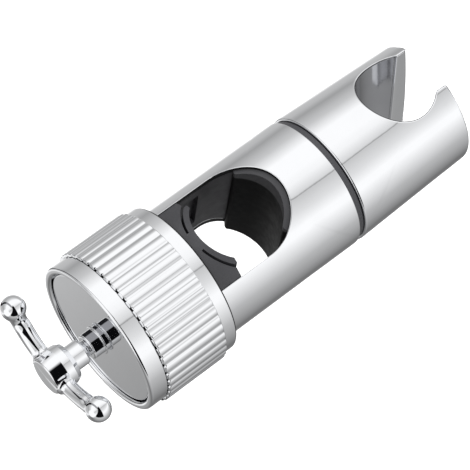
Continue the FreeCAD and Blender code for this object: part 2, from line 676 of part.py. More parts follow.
def knob_bearing():
    around_bush = "(bush_radius + screw_clearance)"
    washer("thrust_washer", WASHER_FRONT, JAW_BOSS_END, around_bush, "washer_radius")
    washer("front_thrust_washer", DISC_BACK, "%s + front_washer" % DISC_BACK,
           around_bush, "washer_radius")
    washer("spindle_bush", DISC_BACK, JAW_BOSS_END, "spindle_radius", "bush_radius")
    turned("cover_disc", rectangle(DISC_FRONT, DISC_BACK, "spindle_tip_radius", DISC_RADIUS))
    washer("post_lock_washer", "%s - lock_washer" % DISC_FRONT, DISC_FRONT,
           "spindle_tip_radius", "lock_washer_radius")


def hook_post():
    turned("hook_post", [
        (DISC_FRONT, "lock_washer_radius"),
        (DISC_FRONT, "post_foot_radius"),
        (POST_FOOT_FRONT, "post_foot_radius"),
        (POST_FOOT_FRONT, "post_barrel_radius"),
        (POST_WAIST_BACK, "post_barrel_radius"),
        (POST_WAIST_BACK, "post_waist_radius"),
        (POST_NECK_BACK, "post_waist_radius"),
        (POST_NECK_BACK, "post_neck_radius"),
        (POST_END, "post_neck_radius"),
        (POST_END, "post_tenon_radius"),
        ("%s - post_tenon" % POST_END, "post_tenon_radius"),
        ("%s - post_tenon" % POST_END, "0"),
        ("%s - spindle_grip" % DISC_FRONT, "0"),
        ("%s - spindle_grip" % DISC_FRONT, "spindle_tip_radius"),
        ("%s - lock_washer" % DISC_FRONT, "spindle_tip_radius"),
        ("%s - lock_washer" % DISC_FRONT, "lock_washer_radius"),
    ], rounds=[(POST_FOOT_FRONT, "post_foot_radius")], round_size="post_foot_round")


def double_hook():
    hub = doc.addObject("PartDesign::Body", "hook_hub")
    collar_end = "(%s - hub_collar)" % POST_END
    tenon_end = "(%s - post_tenon)" % POST_END
    turn(hub, "Revolution", [
        (tenon_end, "0"),
        (tenon_end, "post_tenon_radius"),
        (POST_END, "post_tenon_radius"),
        (POST_END, "hub_collar_radius"),
        (collar_end, "hub_collar_radius"),
        (collar_end, "hub_radius"),
        ("%s - hub_band" % collar_end, "hub_radius"),
        (HUB_END, "hub_face_radius"),
        (HUB_END, "0"),
    ], "hub_turned")
    round_edges(hub, circles_at([(HUB_END, "hub_face_radius")]), "hub_round", "hub_face_round")
    arms = doc.addObject("Part::Torus", "hook_arms")
    bind(arms, "Radius1", "arm_bend_radius")
    bind(arms, "Radius2", "arm_radius")
    bind(arms, "Angle3", "2 * arm_half_angle")
    start = Rotation(Vector(0, 0, 1), -value("arm_half_angle"))
    upright = Rotation(Vector(0, 1, 0), 90)
    arms.Placement = Placement(Vector(0, 0, 0), upright.multiply(start))
    bind(arms, "Placement.Base.x", ARM_PLANE)
    bind(arms, "Placement.Base.z", "arm_bend_radius")
    balls = []
    for side, sign in (("left", "-"), ("right", "")):
        ball = doc.addObject("Part::Sphere", side + "_ball")
        bind(ball, "Radius", "ball_radius")
        bind(ball, "Placement.Base.x", ARM_PLANE)
        bind(ball, "Placement.Base.y", sign + "arm_bend_radius * sin(arm_half_angle)")
        bind(ball, "Placement.Base.z", "arm_bend_radius * (1 - cos(arm_half_angle))")
        balls.append(ball)
    bored_arms = doc.addObject("Part::Cut", "arms_past_tenon")
    tenon = doc.addObject("Part::Cylinder", "tenon_space")
    bind(tenon, "Radius", "post_tenon_radius")
    bind(tenon, "Height", "post_tenon")
    tenon.Placement = Placement(Vector(0, 0, 0), Rotation(Vector(0, 1, 0), 90))
    bind(tenon, "Placement.Base.x", tenon_end)
    bored_arms.Base = arms
    bored_arms.Tool = tenon
    hook = doc.addObject("Part::MultiFuse", "double_hook")
    hook.Shapes = [hub, bored_arms] + balls
    hook.Placement = Placement(Vector(0, 0, 0), Rotation(Vector(1, 0, 0), value("hook_roll")))
    bind(hook, "Placement.Rotation.Angle", "hook_roll")
    node("double_hook", hook)


def check(items):
    """Stops the script where an object has failed or has no sound solid."""
    for item in doc.Objects:
        if "Invalid" in item.State or "Error" in item.State:
            raise RuntimeError("%s: %s" % (item.Label, item.State))
    for item in items:
        shape = item.Shape
        if shape.isNull() or not shape.isValid() or not shape.Solids:
            raise RuntimeError("%s has no valid solid" % item.Label)


body_sleeve()
body_core()
rail_seat()
swivel_hardware()
swivel_screw()
holder_insert()
handset_holder()
knob_shell()
knob_nut()
clamp_jaw()
spindle_screw()
knob_bearing()
hook_post()
double_hook()
doc.recompute()
check(NODES)

os.makedirs("parts", exist_ok=True)
for item in NODES:
    item.Shape.exportStep("parts/%s.step" % item.Label)
    print("%-22s %2d solid %9.1f mm3" % (item.Label, len(item.Shape.Solids), item.Shape.Volume))
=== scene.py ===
"""Looks of a shower head holder: chromed sleeve, fluted clamping knob, double hook and handset socket.

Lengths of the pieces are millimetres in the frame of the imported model: the origin is on the rail's
axis, +X runs along the body to the handset holder, and +Z runs up along the rail. The studio's places
are metres.
"""
from __future__ import annotations

import logging
import math
from collections.abc import Sequence
from dataclasses import dataclass, field
from enum import Enum

import bmesh
import bpy
from mathutils import Euler, Matrix, Vector

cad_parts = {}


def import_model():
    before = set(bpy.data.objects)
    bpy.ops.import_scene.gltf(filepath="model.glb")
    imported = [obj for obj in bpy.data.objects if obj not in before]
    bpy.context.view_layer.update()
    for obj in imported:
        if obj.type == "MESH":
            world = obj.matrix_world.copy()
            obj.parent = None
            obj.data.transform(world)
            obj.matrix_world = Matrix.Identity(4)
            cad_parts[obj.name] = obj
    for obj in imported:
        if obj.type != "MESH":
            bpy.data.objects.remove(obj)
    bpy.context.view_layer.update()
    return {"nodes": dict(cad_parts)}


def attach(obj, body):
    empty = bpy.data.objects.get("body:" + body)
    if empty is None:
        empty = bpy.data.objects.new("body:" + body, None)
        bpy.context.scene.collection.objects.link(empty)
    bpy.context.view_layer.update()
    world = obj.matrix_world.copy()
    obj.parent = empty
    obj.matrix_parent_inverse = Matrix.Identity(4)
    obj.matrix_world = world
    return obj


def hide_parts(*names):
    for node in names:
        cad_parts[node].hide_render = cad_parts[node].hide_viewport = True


LOG = logging.getLogger("shower_head_holder")
MM = 0.001
ARC_STEPS = 6
BEVEL_DEGREES = 35.0
Span = tuple[float, float]
Profile = list[tuple[float, float]]
Rows = list[list[Vector]]


def linear(colour: str) -> tuple[float, float, float, float]:
    """Turns an sRGB colour to linear values.

    Args:
        colour: the colour, as #RRGGBB.

    Returns:
        Red, green, blue and full opacity.
    """
    parts = [int(colour[start:start + 2], 16) / 255 for start in (1, 3, 5)]
    curve = [part / 12.92 if part <= 0.04045 else ((part + 0.055) / 1.055) ** 2.4 for part in parts]
    return (curve[0], curve[1], curve[2], 1.0)


def add_node(tree: bpy.types.NodeTree, kind: str, options: dict[str, object] | None = None,
             inputs: dict[str | int, object] | None = None) -> bpy.types.Node:
    """Adds a node with its settings and links.

    Args:
        tree: the tree that gets the node.
        kind: the node's type name.
        options: settings of the node itself.
        inputs: for each input, a value, or the output socket that is linked to it.

    Returns:
        The new node.
    """
    item = tree.nodes.new(kind)
    for name, option in (options or {}).items():
        setattr(item, name, option)
    for name, source in (inputs or {}).items():
        if isinstance(source, bpy.types.NodeSocket):
            tree.links.new(source, item.inputs[name])
        else:
            item.inputs[name].default_value = source
    return item


def set_stops(ramp: bpy.types.ColorRamp, stops: Sequence[tuple[float, str]]) -> None:
    """Gives a new colour ramp, which has two stops, its own stops.

    Args:
        ramp: the colour ramp.
        stops: (position, hex colour) in rising order.
    """
    for index, (position, colour) in enumerate(stops):
        stop = ramp.elements[index] if index < 2 else ramp.elements.new(position)
        stop.position = position
        stop.color = linear(colour)


class Slot(Enum):
    """Names of the record's material slots, passed along with the rebuilt pieces but not set on them.
    """

    CHROME = "chrome"
    DARK_PLASTIC = "dark_plastic"


@dataclass(frozen=True)
class Finish:
    """A finish whose colour and gloss vary a little over the surface, with a fine relief.

    Colour and gloss change over grain_mm, and the relief over relief_mm. Stretch squeezes both along
    an axis, as turning marks are. A painted light colour, where there is one, takes over above
    end_height: painted light on an upper end that the lamps light more.
    """

    name: str
    colour: str
    variation: str
    roughness: float
    roughness_spread: float
    grain_mm: float
    relief_mm: float
    relief_strength: float
    metallic: float = 0.0
    specular: float = 0.5
    stretch: tuple[float, float, float] = (1.0, 1.0, 1.0)
    painted_light_end_colour: str = ""
    end_height: float = 0.0
    end_blend: float = 0.3
    relief_depth: float = 0.25
    usual_noise: Span = (0.3, 0.7)

    def build(self) -> bpy.types.Material:
        """Builds the procedural material.

        Returns:
            The material, whose patterns read Object coordinates.
        """
        material = bpy.data.materials.new(self.name)
        material.use_nodes = True
        tree = material.node_tree
        tree.nodes.clear()
        place = add_node(tree, "ShaderNodeTexCoord").outputs["Object"]
        spot = add_node(tree, "ShaderNodeMapping", inputs={"Vector": place, "Scale": self.stretch})
        cloud = add_node(tree, "ShaderNodeTexNoise", inputs={
            "Vector": spot.outputs["Vector"], "Scale": 1 / (self.grain_mm * MM), "Detail": 3.0})
        tint = add_node(tree, "ShaderNodeMix", {"data_type": "RGBA"}, {
            "Factor": cloud.outputs["Fac"], "A": linear(self.colour), "B": linear(self.variation)})
        # Above end_height the colour turns to the painted light colour: painted light on the upper
        # end.
        if self.painted_light_end_colour:
            height = add_node(tree, "ShaderNodeSeparateXYZ", inputs={"Vector": place}).outputs["Z"]
            lit_end = add_node(tree, "ShaderNodeMapRange", {"interpolation_type": "SMOOTHSTEP"}, {
                "Value": height, "From Min": (self.end_height - self.end_blend) * MM,
                "From Max": self.end_height * MM})
            tint = add_node(tree, "ShaderNodeMix", {"data_type": "RGBA"}, {
                "Factor": lit_end.outputs["Result"], "A": tint.outputs["Result"],
                "B": linear(self.painted_light_end_colour)})
        gloss = add_node(tree, "ShaderNodeMapRange", inputs={
            "Value": cloud.outputs["Fac"],
            "From Min": self.usual_noise[0], "From Max": self.usual_noise[1],
            "To Min": self.roughness - self.roughness_spread,
            "To Max": self.roughness + self.roughness_spread})
        grain = add_node(tree, "ShaderNodeTexNoise", inputs={
            "Vector": spot.outputs["Vector"], "Scale": 1 / (self.relief_mm * MM), "Detail": 2.0})
        relief = add_node(tree, "ShaderNodeBump", inputs={
            "Height": grain.outputs["Fac"], "Strength": self.relief_strength,
            "Distance": self.relief_mm * self.relief_depth * MM})
        shader = add_node(tree, "ShaderNodeBsdfPrincipled", inputs={
            "Base Color": tint.outputs["Result"], "Roughness": gloss.outputs["Result"],
            "Metallic": self.metallic, "Specular IOR Level": self.specular,
            "Normal": relief.outputs["Normal"]})
        add_node(tree, "ShaderNodeOutputMaterial", inputs={"Surface": shader.outputs["BSDF"]})
        return material


# Bright nickel-chrome plating over moulded ABS: a near mirror with a faint orange peel.
CHROME_PLATE = Finish(
    "chrome_plated_abs", "#F2F3F5", "#ECEDEF", roughness=0.035, roughness_spread=0.012,
    grain_mm=9.0, relief_mm=2.2, relief_strength=0.012, metallic=1.0)
# The same plating down in the socket, where it is thinner and stays duller; its colour is painted
# darker as the socket's shade.
THIN_CHROME_AND_SHADE = Finish(
    "thin_chrome_painted_shade_in_socket", "#C2C3C6", "#B4B5B9", roughness=0.1, roughness_spread=0.03,
    grain_mm=7.0, relief_mm=2.2, relief_strength=0.02, metallic=1.0)
# Cast zinc, polished by hand before plating: the same mirror with slightly rounder relief.
CAST_CHROME = Finish(
    "chrome_plated_zinc", "#F2F3F5", "#EDEEF0", roughness=0.03, roughness_spread=0.01,
    grain_mm=6.0, relief_mm=1.6, relief_strength=0.015, metallic=1.0)
# Bare black ABS where the plating stops on hidden faces, and the same black painted as shade on the
# sleeve's cut edge, the knob's rear edge and its groove: flat and almost without gloss.
BARE_ABS_AND_SHADE = Finish(
    "unplated_abs_and_painted_shade", "#0B0B0C", "#0E0E0F", roughness=0.55, roughness_spread=0.05,
    grain_mm=2.0, relief_mm=0.3, relief_strength=0.1, specular=0.3)
# Glass-filled nylon from a spark-eroded mould: dark grey with a dull sheen. Its grain of about 0.1 mm
# is too fine to show, so it is drawn at 0.25 mm.
MOULDED_NYLON = Finish(
    "moulded_grey_nylon", "#343437", "#2E2E31", roughness=0.45, roughness_spread=0.06,
    grain_mm=3.0, relief_mm=0.25, relief_strength=0.25)
# Soft rubber of the seat: almost black, dry and even. Its upper end is painted greyer: painted light
# where the top faces the overhead lamps.
SEAT_RUBBER = Finish(
    "moulded_black_rubber_seat", "#070708", "#0A0A0B", roughness=0.6, roughness_spread=0.05,
    grain_mm=2.0, relief_mm=0.2, relief_strength=0.2, specular=0.18,
    painted_light_end_colour="#3C3C3E", end_height=13.2)
# Soft rubber of the seal: black, dry and even.
SEAL_RUBBER = Finish(
    "moulded_black_rubber", "#09090A", "#0C0C0D", roughness=0.6, roughness_spread=0.05,
    grain_mm=2.0, relief_mm=0.2, relief_strength=0.2, specular=0.25)
# Acetal of the friction ring: dark grey with a waxy sheen, and turning marks round the axis.
TURNED_ACETAL = Finish(
    "turned_grey_acetal", "#404043", "#39393C", roughness=0.4, roughness_spread=0.05,
    grain_mm=2.0, relief_mm=0.3, relief_strength=0.15, specular=0.3, stretch=(12.0, 1.0, 1.0))
# Natural acetal of the thrust washers: milky white.
WHITE_ACETAL = Finish(
    "natural_acetal", "#E8E7E2", "#DEDDD8", roughness=0.35, roughness_spread=0.05,
    grain_mm=2.0, relief_mm=0.3, relief_strength=0.1)
# Stainless steel with turning marks round the axis.
TURNED_STEEL = Finish(
    "turned_stainless_steel", "#C9C9C8", "#B9B9B8", roughness=0.25, roughness_spread=0.06,
    grain_mm=1.2, relief_mm=0.15, relief_strength=0.2, metallic=1.0, stretch=(14.0, 1.0, 1.0))
# Free-cutting brass with turning marks round the axis.
TURNED_BRASS = Finish(
    "turned_brass", "#D9B866", "#C9A654", roughness=0.28, roughness_spread=0.06,
    grain_mm=1.2, relief_mm=0.15, relief_strength=0.2, metallic=1.0, stretch=(14.0, 1.0, 1.0))
# The studio floor: matt white paint with a faint, wide change of tone.
WHITE_PAINT = Finish(
    "matt_white_paint", "#F4F4F4", "#F2F2F2", roughness=0.9, roughness_spread=0.02,
    grain_mm=400.0, relief_mm=3.0, relief_strength=0.02)


class Dresser:
    """Builds each finish once, and gives it to pieces and to CAD nodes."""

    def __init__(self, nodes: dict[str, bpy.types.Object]) -> None:
        """Keeps the frame's nodes."""
        self.nodes = nodes
        self.built: dict[str, bpy.types.Material] = {}

    def material(self, finish: Finish) -> bpy.types.Material:
        """Looks up a finish's material, and builds it on first use.

        Args:
            finish: the finish.

        Returns:
            Its material.
        """
        if finish.name not in self.built:
            self.built[finish.name] = finish.build()
        return self.built[finish.name]

    def dress_node(self, node: str, finish: Finish) -> None:
        """Gives a CAD node that stays visible a finish.

        Args:
            node: the node's name.
            finish: what it is made of.
        """
        mesh = self.nodes[node].data
        mesh.materials.clear()
        mesh.materials.append(self.material(finish))
        LOG.info("node %s keeps its shape, finish %s", node, finish.name)

    def place(self, piece: bpy.types.Object, finish: Finish, body: str, slot: Slot,
              replaced: Sequence[str]) -> None:
        """Dresses a piece, sets it on its body and lets it stand for CAD nodes.

        Args:
            piece: the finished piece.
            finish: what it is made of.
            body: the CAD body that it rides on.
            slot: the record's material slot; not used.
            replaced: the CAD nodes that it stands for.
        """
        piece.data.materials.clear()
        piece.data.materials.append(self.material(finish))
        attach(piece, body)
        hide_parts(*replaced)
        LOG.info("piece %s rides on %s, %d faces", piece.name, body, len(piece.data.polygons))

    def dress_faces(self, piece: bpy.types.Object, finish: Finish, faces: Sequence[int]) -> None:
        """Gives some faces of a placed piece a second finish.

        Args:
            piece: the placed piece.
            finish: the second finish.
            faces: the faces' numbers.
        """
        piece.data.materials.append(self.material(finish))
        for face in faces:
            piece.data.polygons[face].material_index = len(piece.data.materials) - 1


class MeshMaker:
    """Collects points and faces in millimetres and turns them to a closed, smooth mesh."""

    MERGE = 0.002
    COLLAPSE = 0.0005
    SHARP_DEGREES = 40.0

    def __init__(self) -> None:
        """Starts with no points."""
        self.points: list[Vector] = []
        self.faces: list[list[int]] = []

    def grid(self, rows: Sequence[Sequence[Vector]]) -> None:
        """Adds the quads between neighbouring rows of points.

        Args:
            rows: rows of the same number of points.
        """
        start = len(self.points)
        width = len(rows[0])
        for row in rows:
            self.points.extend(row)
        for down in range(len(rows) - 1):
            for across in range(width - 1):
                corner = start + down * width + across
                self.faces.append([corner, corner + 1, corner + width + 1, corner + width])

    def both_sides(self, rows: Sequence[Sequence[Vector]]) -> None:
        """Adds rows and their mirror image in the plane of the body and the rail."""
        self.grid(rows)
        self.grid([[Vector((point.x, -point.y, point.z)) for point in row] for row in rows])

    def roll(self, degrees: float) -> None:
        """Turns all the points about the X axis."""
        turn = Matrix.Rotation(math.radians(degrees), 3, "X")
        self.points = [turn @ point for point in self.points]

    def piece(self, name: str) -> bpy.types.Object:
        """Makes the object.

        Args:
            name: the piece's name.

        Returns:
            The object, with its doubles merged and its faces pointing outwards.
        """
        mesh = bpy.data.meshes.new(name)
        mesh.from_pydata([tuple(point * MM) for point in self.points], [], self.faces)
        work = bmesh.new()
        work.from_mesh(mesh)
        bmesh.ops.remove_doubles(work, verts=work.verts, dist=self.MERGE * MM)
        bmesh.ops.dissolve_degenerate(work, edges=work.edges, dist=self.COLLAPSE * MM)
        bmesh.ops.recalc_face_normals(work, faces=work.faces)
        work.to_mesh(mesh)
        work.free()
        mesh.shade_smooth()
        mesh.set_sharp_from_angle(angle=math.radians(self.SHARP_DEGREES))
        piece = bpy.data.objects.new(name, mesh)
        bpy.context.scene.collection.objects.link(piece)
        return piece


def rounded(corners: Sequence[tuple[float, ...]], guard: float = 0.12) -> Profile:
    """Rounds the corners of a closed profile.

    Args:
        corners: (x, radius) or (x, radius, round) corners of the profile.
        guard: how far from each arc an extra point keeps the flat beside it flat.

    Returns:
        The profile's points.
    """
    spots = [Vector(corner[:2]) for corner in corners]
    result: Profile = []
    for index, corner in enumerate(corners):
        spot = spots[index]
        if len(corner) == 2:
            result.append((spot.x, spot.y))
            continue
        size = corner[2]
        before = (spots[index - 1] - spot).normalized()
        after = (spots[(index + 1) % len(spots)] - spot).normalized()
        half = before.angle(after) / 2
        start = spot + before * (size / math.tan(half))
        end = spot + after * (size / math.tan(half))
        middle = spot + (before + after).normalized() * (size / math.sin(half))
        result.append(tuple(start + before * guard))
        first = math.atan2(start.y - middle.y, start.x - middle.x)
        turn = math.atan2(end.y - middle.y, end.x - middle.x) - first
        turn = (turn + math.pi) % (2 * math.pi) - math.pi
        for step in range(ARC_STEPS + 1):
            angle = first + turn * step / ARC_STEPS
            result.append((middle.x + size * math.cos(angle), middle.y + size * math.sin(angle)))
        result.append(tuple(end + after * guard))
    return result


def full_turn(segments: int) -> list[float]:
    """The angles round a circle, of which the last lies on the first."""
    return [2 * math.pi * step / segments for step in range(segments + 1)]


def circle(x: float, radius: float, angles: Sequence[float]) -> list[Vector]:
    """Points at some angles round the X axis."""
    return [Vector((x, radius * math.cos(angle), radius * math.sin(angle))) for angle in angles]


def turned(profile: Profile, segments: int) -> Rows:
    """The rows of a profile that is turned about the X axis."""
    angles = full_turn(segments)
    return [circle(x, radius, angles) for x, radius in profile]


def lathe(name: str, profile: Profile, segments: int) -> bpy.types.Object:
    """Turns a closed profile about the X axis.

    Args:
        name: the piece's name.
        profile: (x, radius) points.
        segments: faces round the axis.

    Returns:
        The turned piece.
    """
    maker = MeshMaker()
    maker.grid(turned(profile + profile[:1], segments))
    return maker.piece(name)


def keep_evaluated(piece: bpy.types.Object) -> None:
    """Replaces a piece's mesh with its evaluated one and removes its modifiers.

    Args:
        piece: the piece.
    """
    bpy.context.view_layer.update()
    graph = bpy.context.evaluated_depsgraph_get()
    mesh = bpy.data.meshes.new_from_object(piece.evaluated_get(graph))
    piece.modifiers.clear()
    piece.data = mesh


def soften(piece: bpy.types.Object, width: float, segments: int) -> None:
    """Rounds the edges where a piece's faces meet at an angle.

    Args:
        piece: the piece.
        width: the rounding, in millimetres.
        segments: runs across the rounding.
    """
    bevel = piece.modifiers.new("rounded_edges", "BEVEL")
    bevel.width = width * MM
    bevel.segments = segments
    bevel.limit_method = "ANGLE"
    bevel.angle_limit = math.radians(BEVEL_DEGREES)
    bevel.use_clamp_overlap = False
    bevel.miter_outer = "MITER_ARC"
    keep_evaluated(piece)


def faces_between(piece: bpy.types.Object, stations: Span, radii: Span) -> list[int]:
    """Finds the faces whose middle lies in a ring about the X axis.

    Args:
        piece: the piece.
        stations: the lowest and highest x, in millimetres.
        radii: the lowest and highest distance from the axis, in millimetres.

    Returns:
        The faces' numbers.
    """
    found = []
    for face in piece.data.polygons:
        x, y, z = face.center / MM
        if stations[0] < x < stations[1] and radii[0] < math.hypot(y, z) < radii[1]:
            found.append(face.index)
    return found


@dataclass
class SlottedBarrel:
    """One half of a round barrel with a hole across it that opens to one end as a slot.

    The slot opens towards +X. Points are worked out for y >= 0 and mirrored. Columns of points run
    round the hole: first along the slot's side, at shares of its length, and then round the hole.
    Rows run from the hole's rim out to the barrel's side line and its far end.
    """

    open_end: float
    far_end: float
    open_radius: float
    far_radius: float
    hole_x: float
    hole_radius: float
    hole_slope: float
    slot_half: float
    slot_columns: tuple[float, ...]
    dome: float = 0.0
    side_columns: int = 34
    end_columns: int = 26
    rows: tuple[float, ...] = (0.0, 0.06, 0.14, 0.24, 0.36, 0.5, 0.64, 0.77, 0.87, 0.94, 1.0)
    rim_tries: int = 12

    @property
    def columns(self) -> int:
        """How many columns run round the hole."""
        return self.side_columns + self.end_columns

    def radius_at(self, x: float, inset: float) -> float:
        """The barrel's radius at a station, less an inset."""
        share = (x - self.far_end) / (self.open_end - self.far_end)
        return self.far_radius + (self.open_radius - self.far_radius) * share - inset

    def end_x(self, y: float, z: float) -> float:
        """Where the open end's face lies, which rises in the middle as a low dome."""
        off_axis = (y ** 2 + z ** 2) / self.open_radius ** 2
        return self.open_end + self.dome * max(0.0, 1 - off_axis)

    def wall_point(self, column: int, height: float) -> Vector:
        """Finds a point of the hole's wall.

        Args:
            column: which column round the hole.
            height: the point's height.

        Returns:
            The point.
        """
        hole = self.hole_radius + self.hole_slope * height
        meeting = math.asin(min(1.0, self.slot_half / hole))
        last = len(self.slot_columns) - 1
        if column < last:
            corner_x = self.hole_x + hole * math.cos(meeting)
            end = self.end_x(self.slot_half, height)
            x = end + (corner_x - end) * self.slot_columns[column]
            return Vector((x, self.slot_half, height))
        share = (column - last) / (self.columns - 1 - last)
        angle = meeting + (math.pi - meeting) * share
        return Vector((self.hole_x + hole * math.cos(angle), hole * math.sin(angle), height))

    def rim_point(self, column: int, side: int, inset: float) -> Vector:
        """Finds where the hole's wall meets the barrel, by drawing nearer in a few tries.

        Args:
            column: which column round the hole.
            side: 1 for the top, -1 for the bottom.
            inset: how far inside the barrel's surface.

        Returns:
            The point on the rim.
        """
        height = side * self.far_radius
        for _ in range(self.rim_tries):
            point = self.wall_point(column, height)
            radius = self.radius_at(point.x, inset)
            height = side * math.sqrt(max(0.0, radius ** 2 - point.y ** 2))
        return self.wall_point(column, height)

    def outer_point(self, column: int) -> tuple[float, float]:
        """Finds where a column runs out to, on the barrel's side line or its far end.

        Args:
            column: which column round the hole.

        Returns:
            The point's x and its angle round the barrel.
        """
        if column == 0:
            return (self.open_end, 0.0)
        if column >= self.side_columns:
            share = (column - self.side_columns + 1) / self.end_columns
            return (self.far_end, math.pi / 2 * share)
        corner = self.rim_point(len(self.slot_columns) - 1, 1, 0.0)
        start = self.open_end + self.slot_columns[1] * (corner.x - self.open_end)
        share = (column - 1) / (self.side_columns - 2)
        return (start + (self.far_end - start) * share, 0.0)

    def skin_rows(self, side: int, inset: float) -> Rows:
        """Lays out a quarter of the barrel's surface.

        Args:
            side: 1 for the top, -1 for the bottom.
            inset: how far inside the barrel's surface.

        Returns:
            Rows from the hole's rim out to the side line and the far end.
        """
        table = []
        for share in self.rows:
            row = []
            for column in range(self.columns):
                rim = self.rim_point(column, side, inset)
                rim_angle = math.atan2(abs(rim.z), rim.y)
                out_x, out_angle = self.outer_point(column)
                x = rim.x + (out_x - rim.x) * share
                angle = rim_angle + (out_angle - rim_angle) * share
                radius = self.radius_at(x, inset)
                row.append(Vector((x, radius * math.cos(angle), side * radius * math.sin(angle))))
            table.append(row)
        return table

    def ring_angles(self) -> list[float]:
        """The angles of the far end's points, from the bottom round the side to the top."""
        upper = [math.pi / 2 * step / self.end_columns for step in range(self.end_columns + 1)]
        return [-angle for angle in reversed(upper[1:])] + upper


@dataclass
class ChromedSleeve:
    """The bracket's sleeve: a drawn tube with the rail's hole cut across it."""

    radius: float = 18.6
    wall: float = 1.6
    left: float = -18.5
    right: float = 26.2
    hole_radius: float = 12.75
    slot_columns: tuple[float, ...] = (0.0, 0.08, 0.3, 0.65, 1.0)
    edge_round: float = 0.28
    edge_steps: int = 4
    # How far past the rounding the cut edge starts
    edge_margin: float = 0.05

    def build(self) -> bpy.types.Object:
        """Builds the tube mirrored, with its slot to +X, and turns it round.

        Returns:
            The sleeve.
        """
        barrel = SlottedBarrel(
            open_end=-self.left, far_end=-self.right, open_radius=self.radius, far_radius=self.radius,
            hole_x=0.0, hole_radius=self.hole_radius, hole_slope=0.0, slot_half=self.hole_radius,
            slot_columns=self.slot_columns)
        maker = MeshMaker()
        for side in (1, -1):
            skins = [barrel.skin_rows(side, inset) for inset in (0.0, self.wall)]
            for skin in skins:
                maker.both_sides(skin)
            maker.both_sides([skin[0] for skin in skins])
            maker.both_sides([[row[0] for row in skin] for skin in skins])
        maker.both_sides([circle(barrel.far_end, self.radius - inset, barrel.ring_angles())
                          for inset in (0.0, self.wall)])
        maker.points = [Vector((-point.x, point.y, point.z)) for point in maker.points]
        piece = maker.piece("body_sleeve_skin")
        soften(piece, self.edge_round, self.edge_steps)
        return piece

    def cut_edge(self, piece: bpy.types.Object) -> list[int]:
        """Finds the faces across the tube's wall at the rail's hole, which are painted black: a
        painted shadow gap between the chrome and the lining.

        Args:
            piece: the finished sleeve.

        Returns:
            The faces' numbers.
        """
        margin = self.edge_round + self.edge_margin
        stations = (self.left + margin, self.right - margin)
        radii = (self.radius - self.wall + margin / 2, self.radius - margin / 2)
        return faces_between(piece, stations, radii)


@dataclass
class HandsetHolder:
    """The swivelling holder: a tapered barrel with a conical socket and a mouth for the hose."""

    left: float = 28.1
    right: float = 64.9
    dome: float = 0.7
    left_radius: float = ChromedSleeve.radius
    right_radius: float = 17.4
    socket_x: float = 54.5
    socket_radius: float = 9.725
    socket_slope: float = 0.0363
    mouth_half: float = 7.4
    bore_radius: float = 9.3
    bore_end: float = 31.5
    tilt: float = 10.0
    edge_round: float = 0.5
    edge_steps: int = 5
    # A ring this far inside the rim keeps the back flat beside its rounding
    edge_support: float = 1.4
    slot_columns: tuple[float, ...] = (0.0, 0.34, 0.67, 1.0)
    wall_rows: int = 20
    face_rows: int = 8
    # How near the socket's cone a face's middle lies to count as its wall
    wall_margin: float = 0.12

    def socket(self, barrel: SlottedBarrel) -> Rows:
        """Lays out the wall of the socket and its mouth, with closer rows near both rims.

        Args:
            barrel: the holder's barrel.

        Returns:
            Rows from the top to the bottom.
        """
        rims = [(barrel.rim_point(column, 1, 0.0).z, barrel.rim_point(column, -1, 0.0).z)
                for column in range(barrel.columns)]
        walls = []
        for step in range(self.wall_rows + 1):
            share = 0.5 - 0.5 * math.cos(math.pi * step / self.wall_rows)
            walls.append([barrel.wall_point(column, top + (bottom - top) * share)
                          for column, (top, bottom) in enumerate(rims)])
        return walls

    def end_face(self, barrel: SlottedBarrel, chord: Sequence[Vector],
                 arc: Sequence[Vector]) -> Rows:
        """Lays out the low dome of the open end beside the mouth.

        Args:
            barrel: the holder's barrel.
            chord: the mouth's edge, from the top to the bottom.
            arc: the barrel's edge, from the top to the bottom.

        Returns:
            Rows from the mouth to the barrel.
        """
        face = []
        for step in range(self.face_rows + 1):
            row = [start.lerp(end, step / self.face_rows) for start, end in zip(chord, arc)]
            face.append([Vector((barrel.end_x(spot.y, spot.z), spot.y, spot.z)) for spot in row])
        return face

    def build(self) -> bpy.types.Object:
        """Builds the holder and tilts it about the body's axis.

        Returns:
            The holder.
        """
        barrel = SlottedBarrel(
            open_end=self.right, far_end=self.left, open_radius=self.right_radius,
            far_radius=self.left_radius, hole_x=self.socket_x, hole_radius=self.socket_radius,
            hole_slope=self.socket_slope, slot_half=self.mouth_half,
            slot_columns=self.slot_columns, dome=self.dome)
        maker = MeshMaker()
        upper, lower = [barrel.skin_rows(side, 0.0) for side in (1, -1)]
        maker.both_sides(upper)
        maker.both_sides(lower)
        walls = self.socket(barrel)
        maker.both_sides(walls)
        chord = [row[0] for row in walls]
        arc = [row[0] for row in upper] + [row[0] for row in reversed(lower)][1:]
        maker.both_sides(self.end_face(barrel, chord, arc))
        back = (
            (self.left, self.left_radius),
            (self.left, self.left_radius - self.edge_support),
            (self.left, self.bore_radius),
            (self.bore_end, self.bore_radius),
            (self.bore_end, 0.0),
        )
        maker.both_sides([circle(x, radius, barrel.ring_angles()) for x, radius in back])
        maker.roll(-self.tilt)
        piece = maker.piece("handset_holder_shell")
        soften(piece, self.edge_round, self.edge_steps)
        return piece

    def socket_wall(self, piece: bpy.types.Object) -> list[int]:
        """Finds the faces of the socket's round wall, where the plating is thinner and duller, and
        painted darker as shade.

        Args:
            piece: the finished holder.

        Returns:
            The faces' numbers.
        """
        back = Matrix.Rotation(math.radians(self.tilt), 3, "X")
        found = []
        for face in piece.data.polygons:
            x, y, z = back @ face.center / MM
            off_wall = math.hypot(x - self.socket_x, y) - self.socket_radius - self.socket_slope * z
            if abs(off_wall) < self.wall_margin:
                found.append(face.index)
        return found


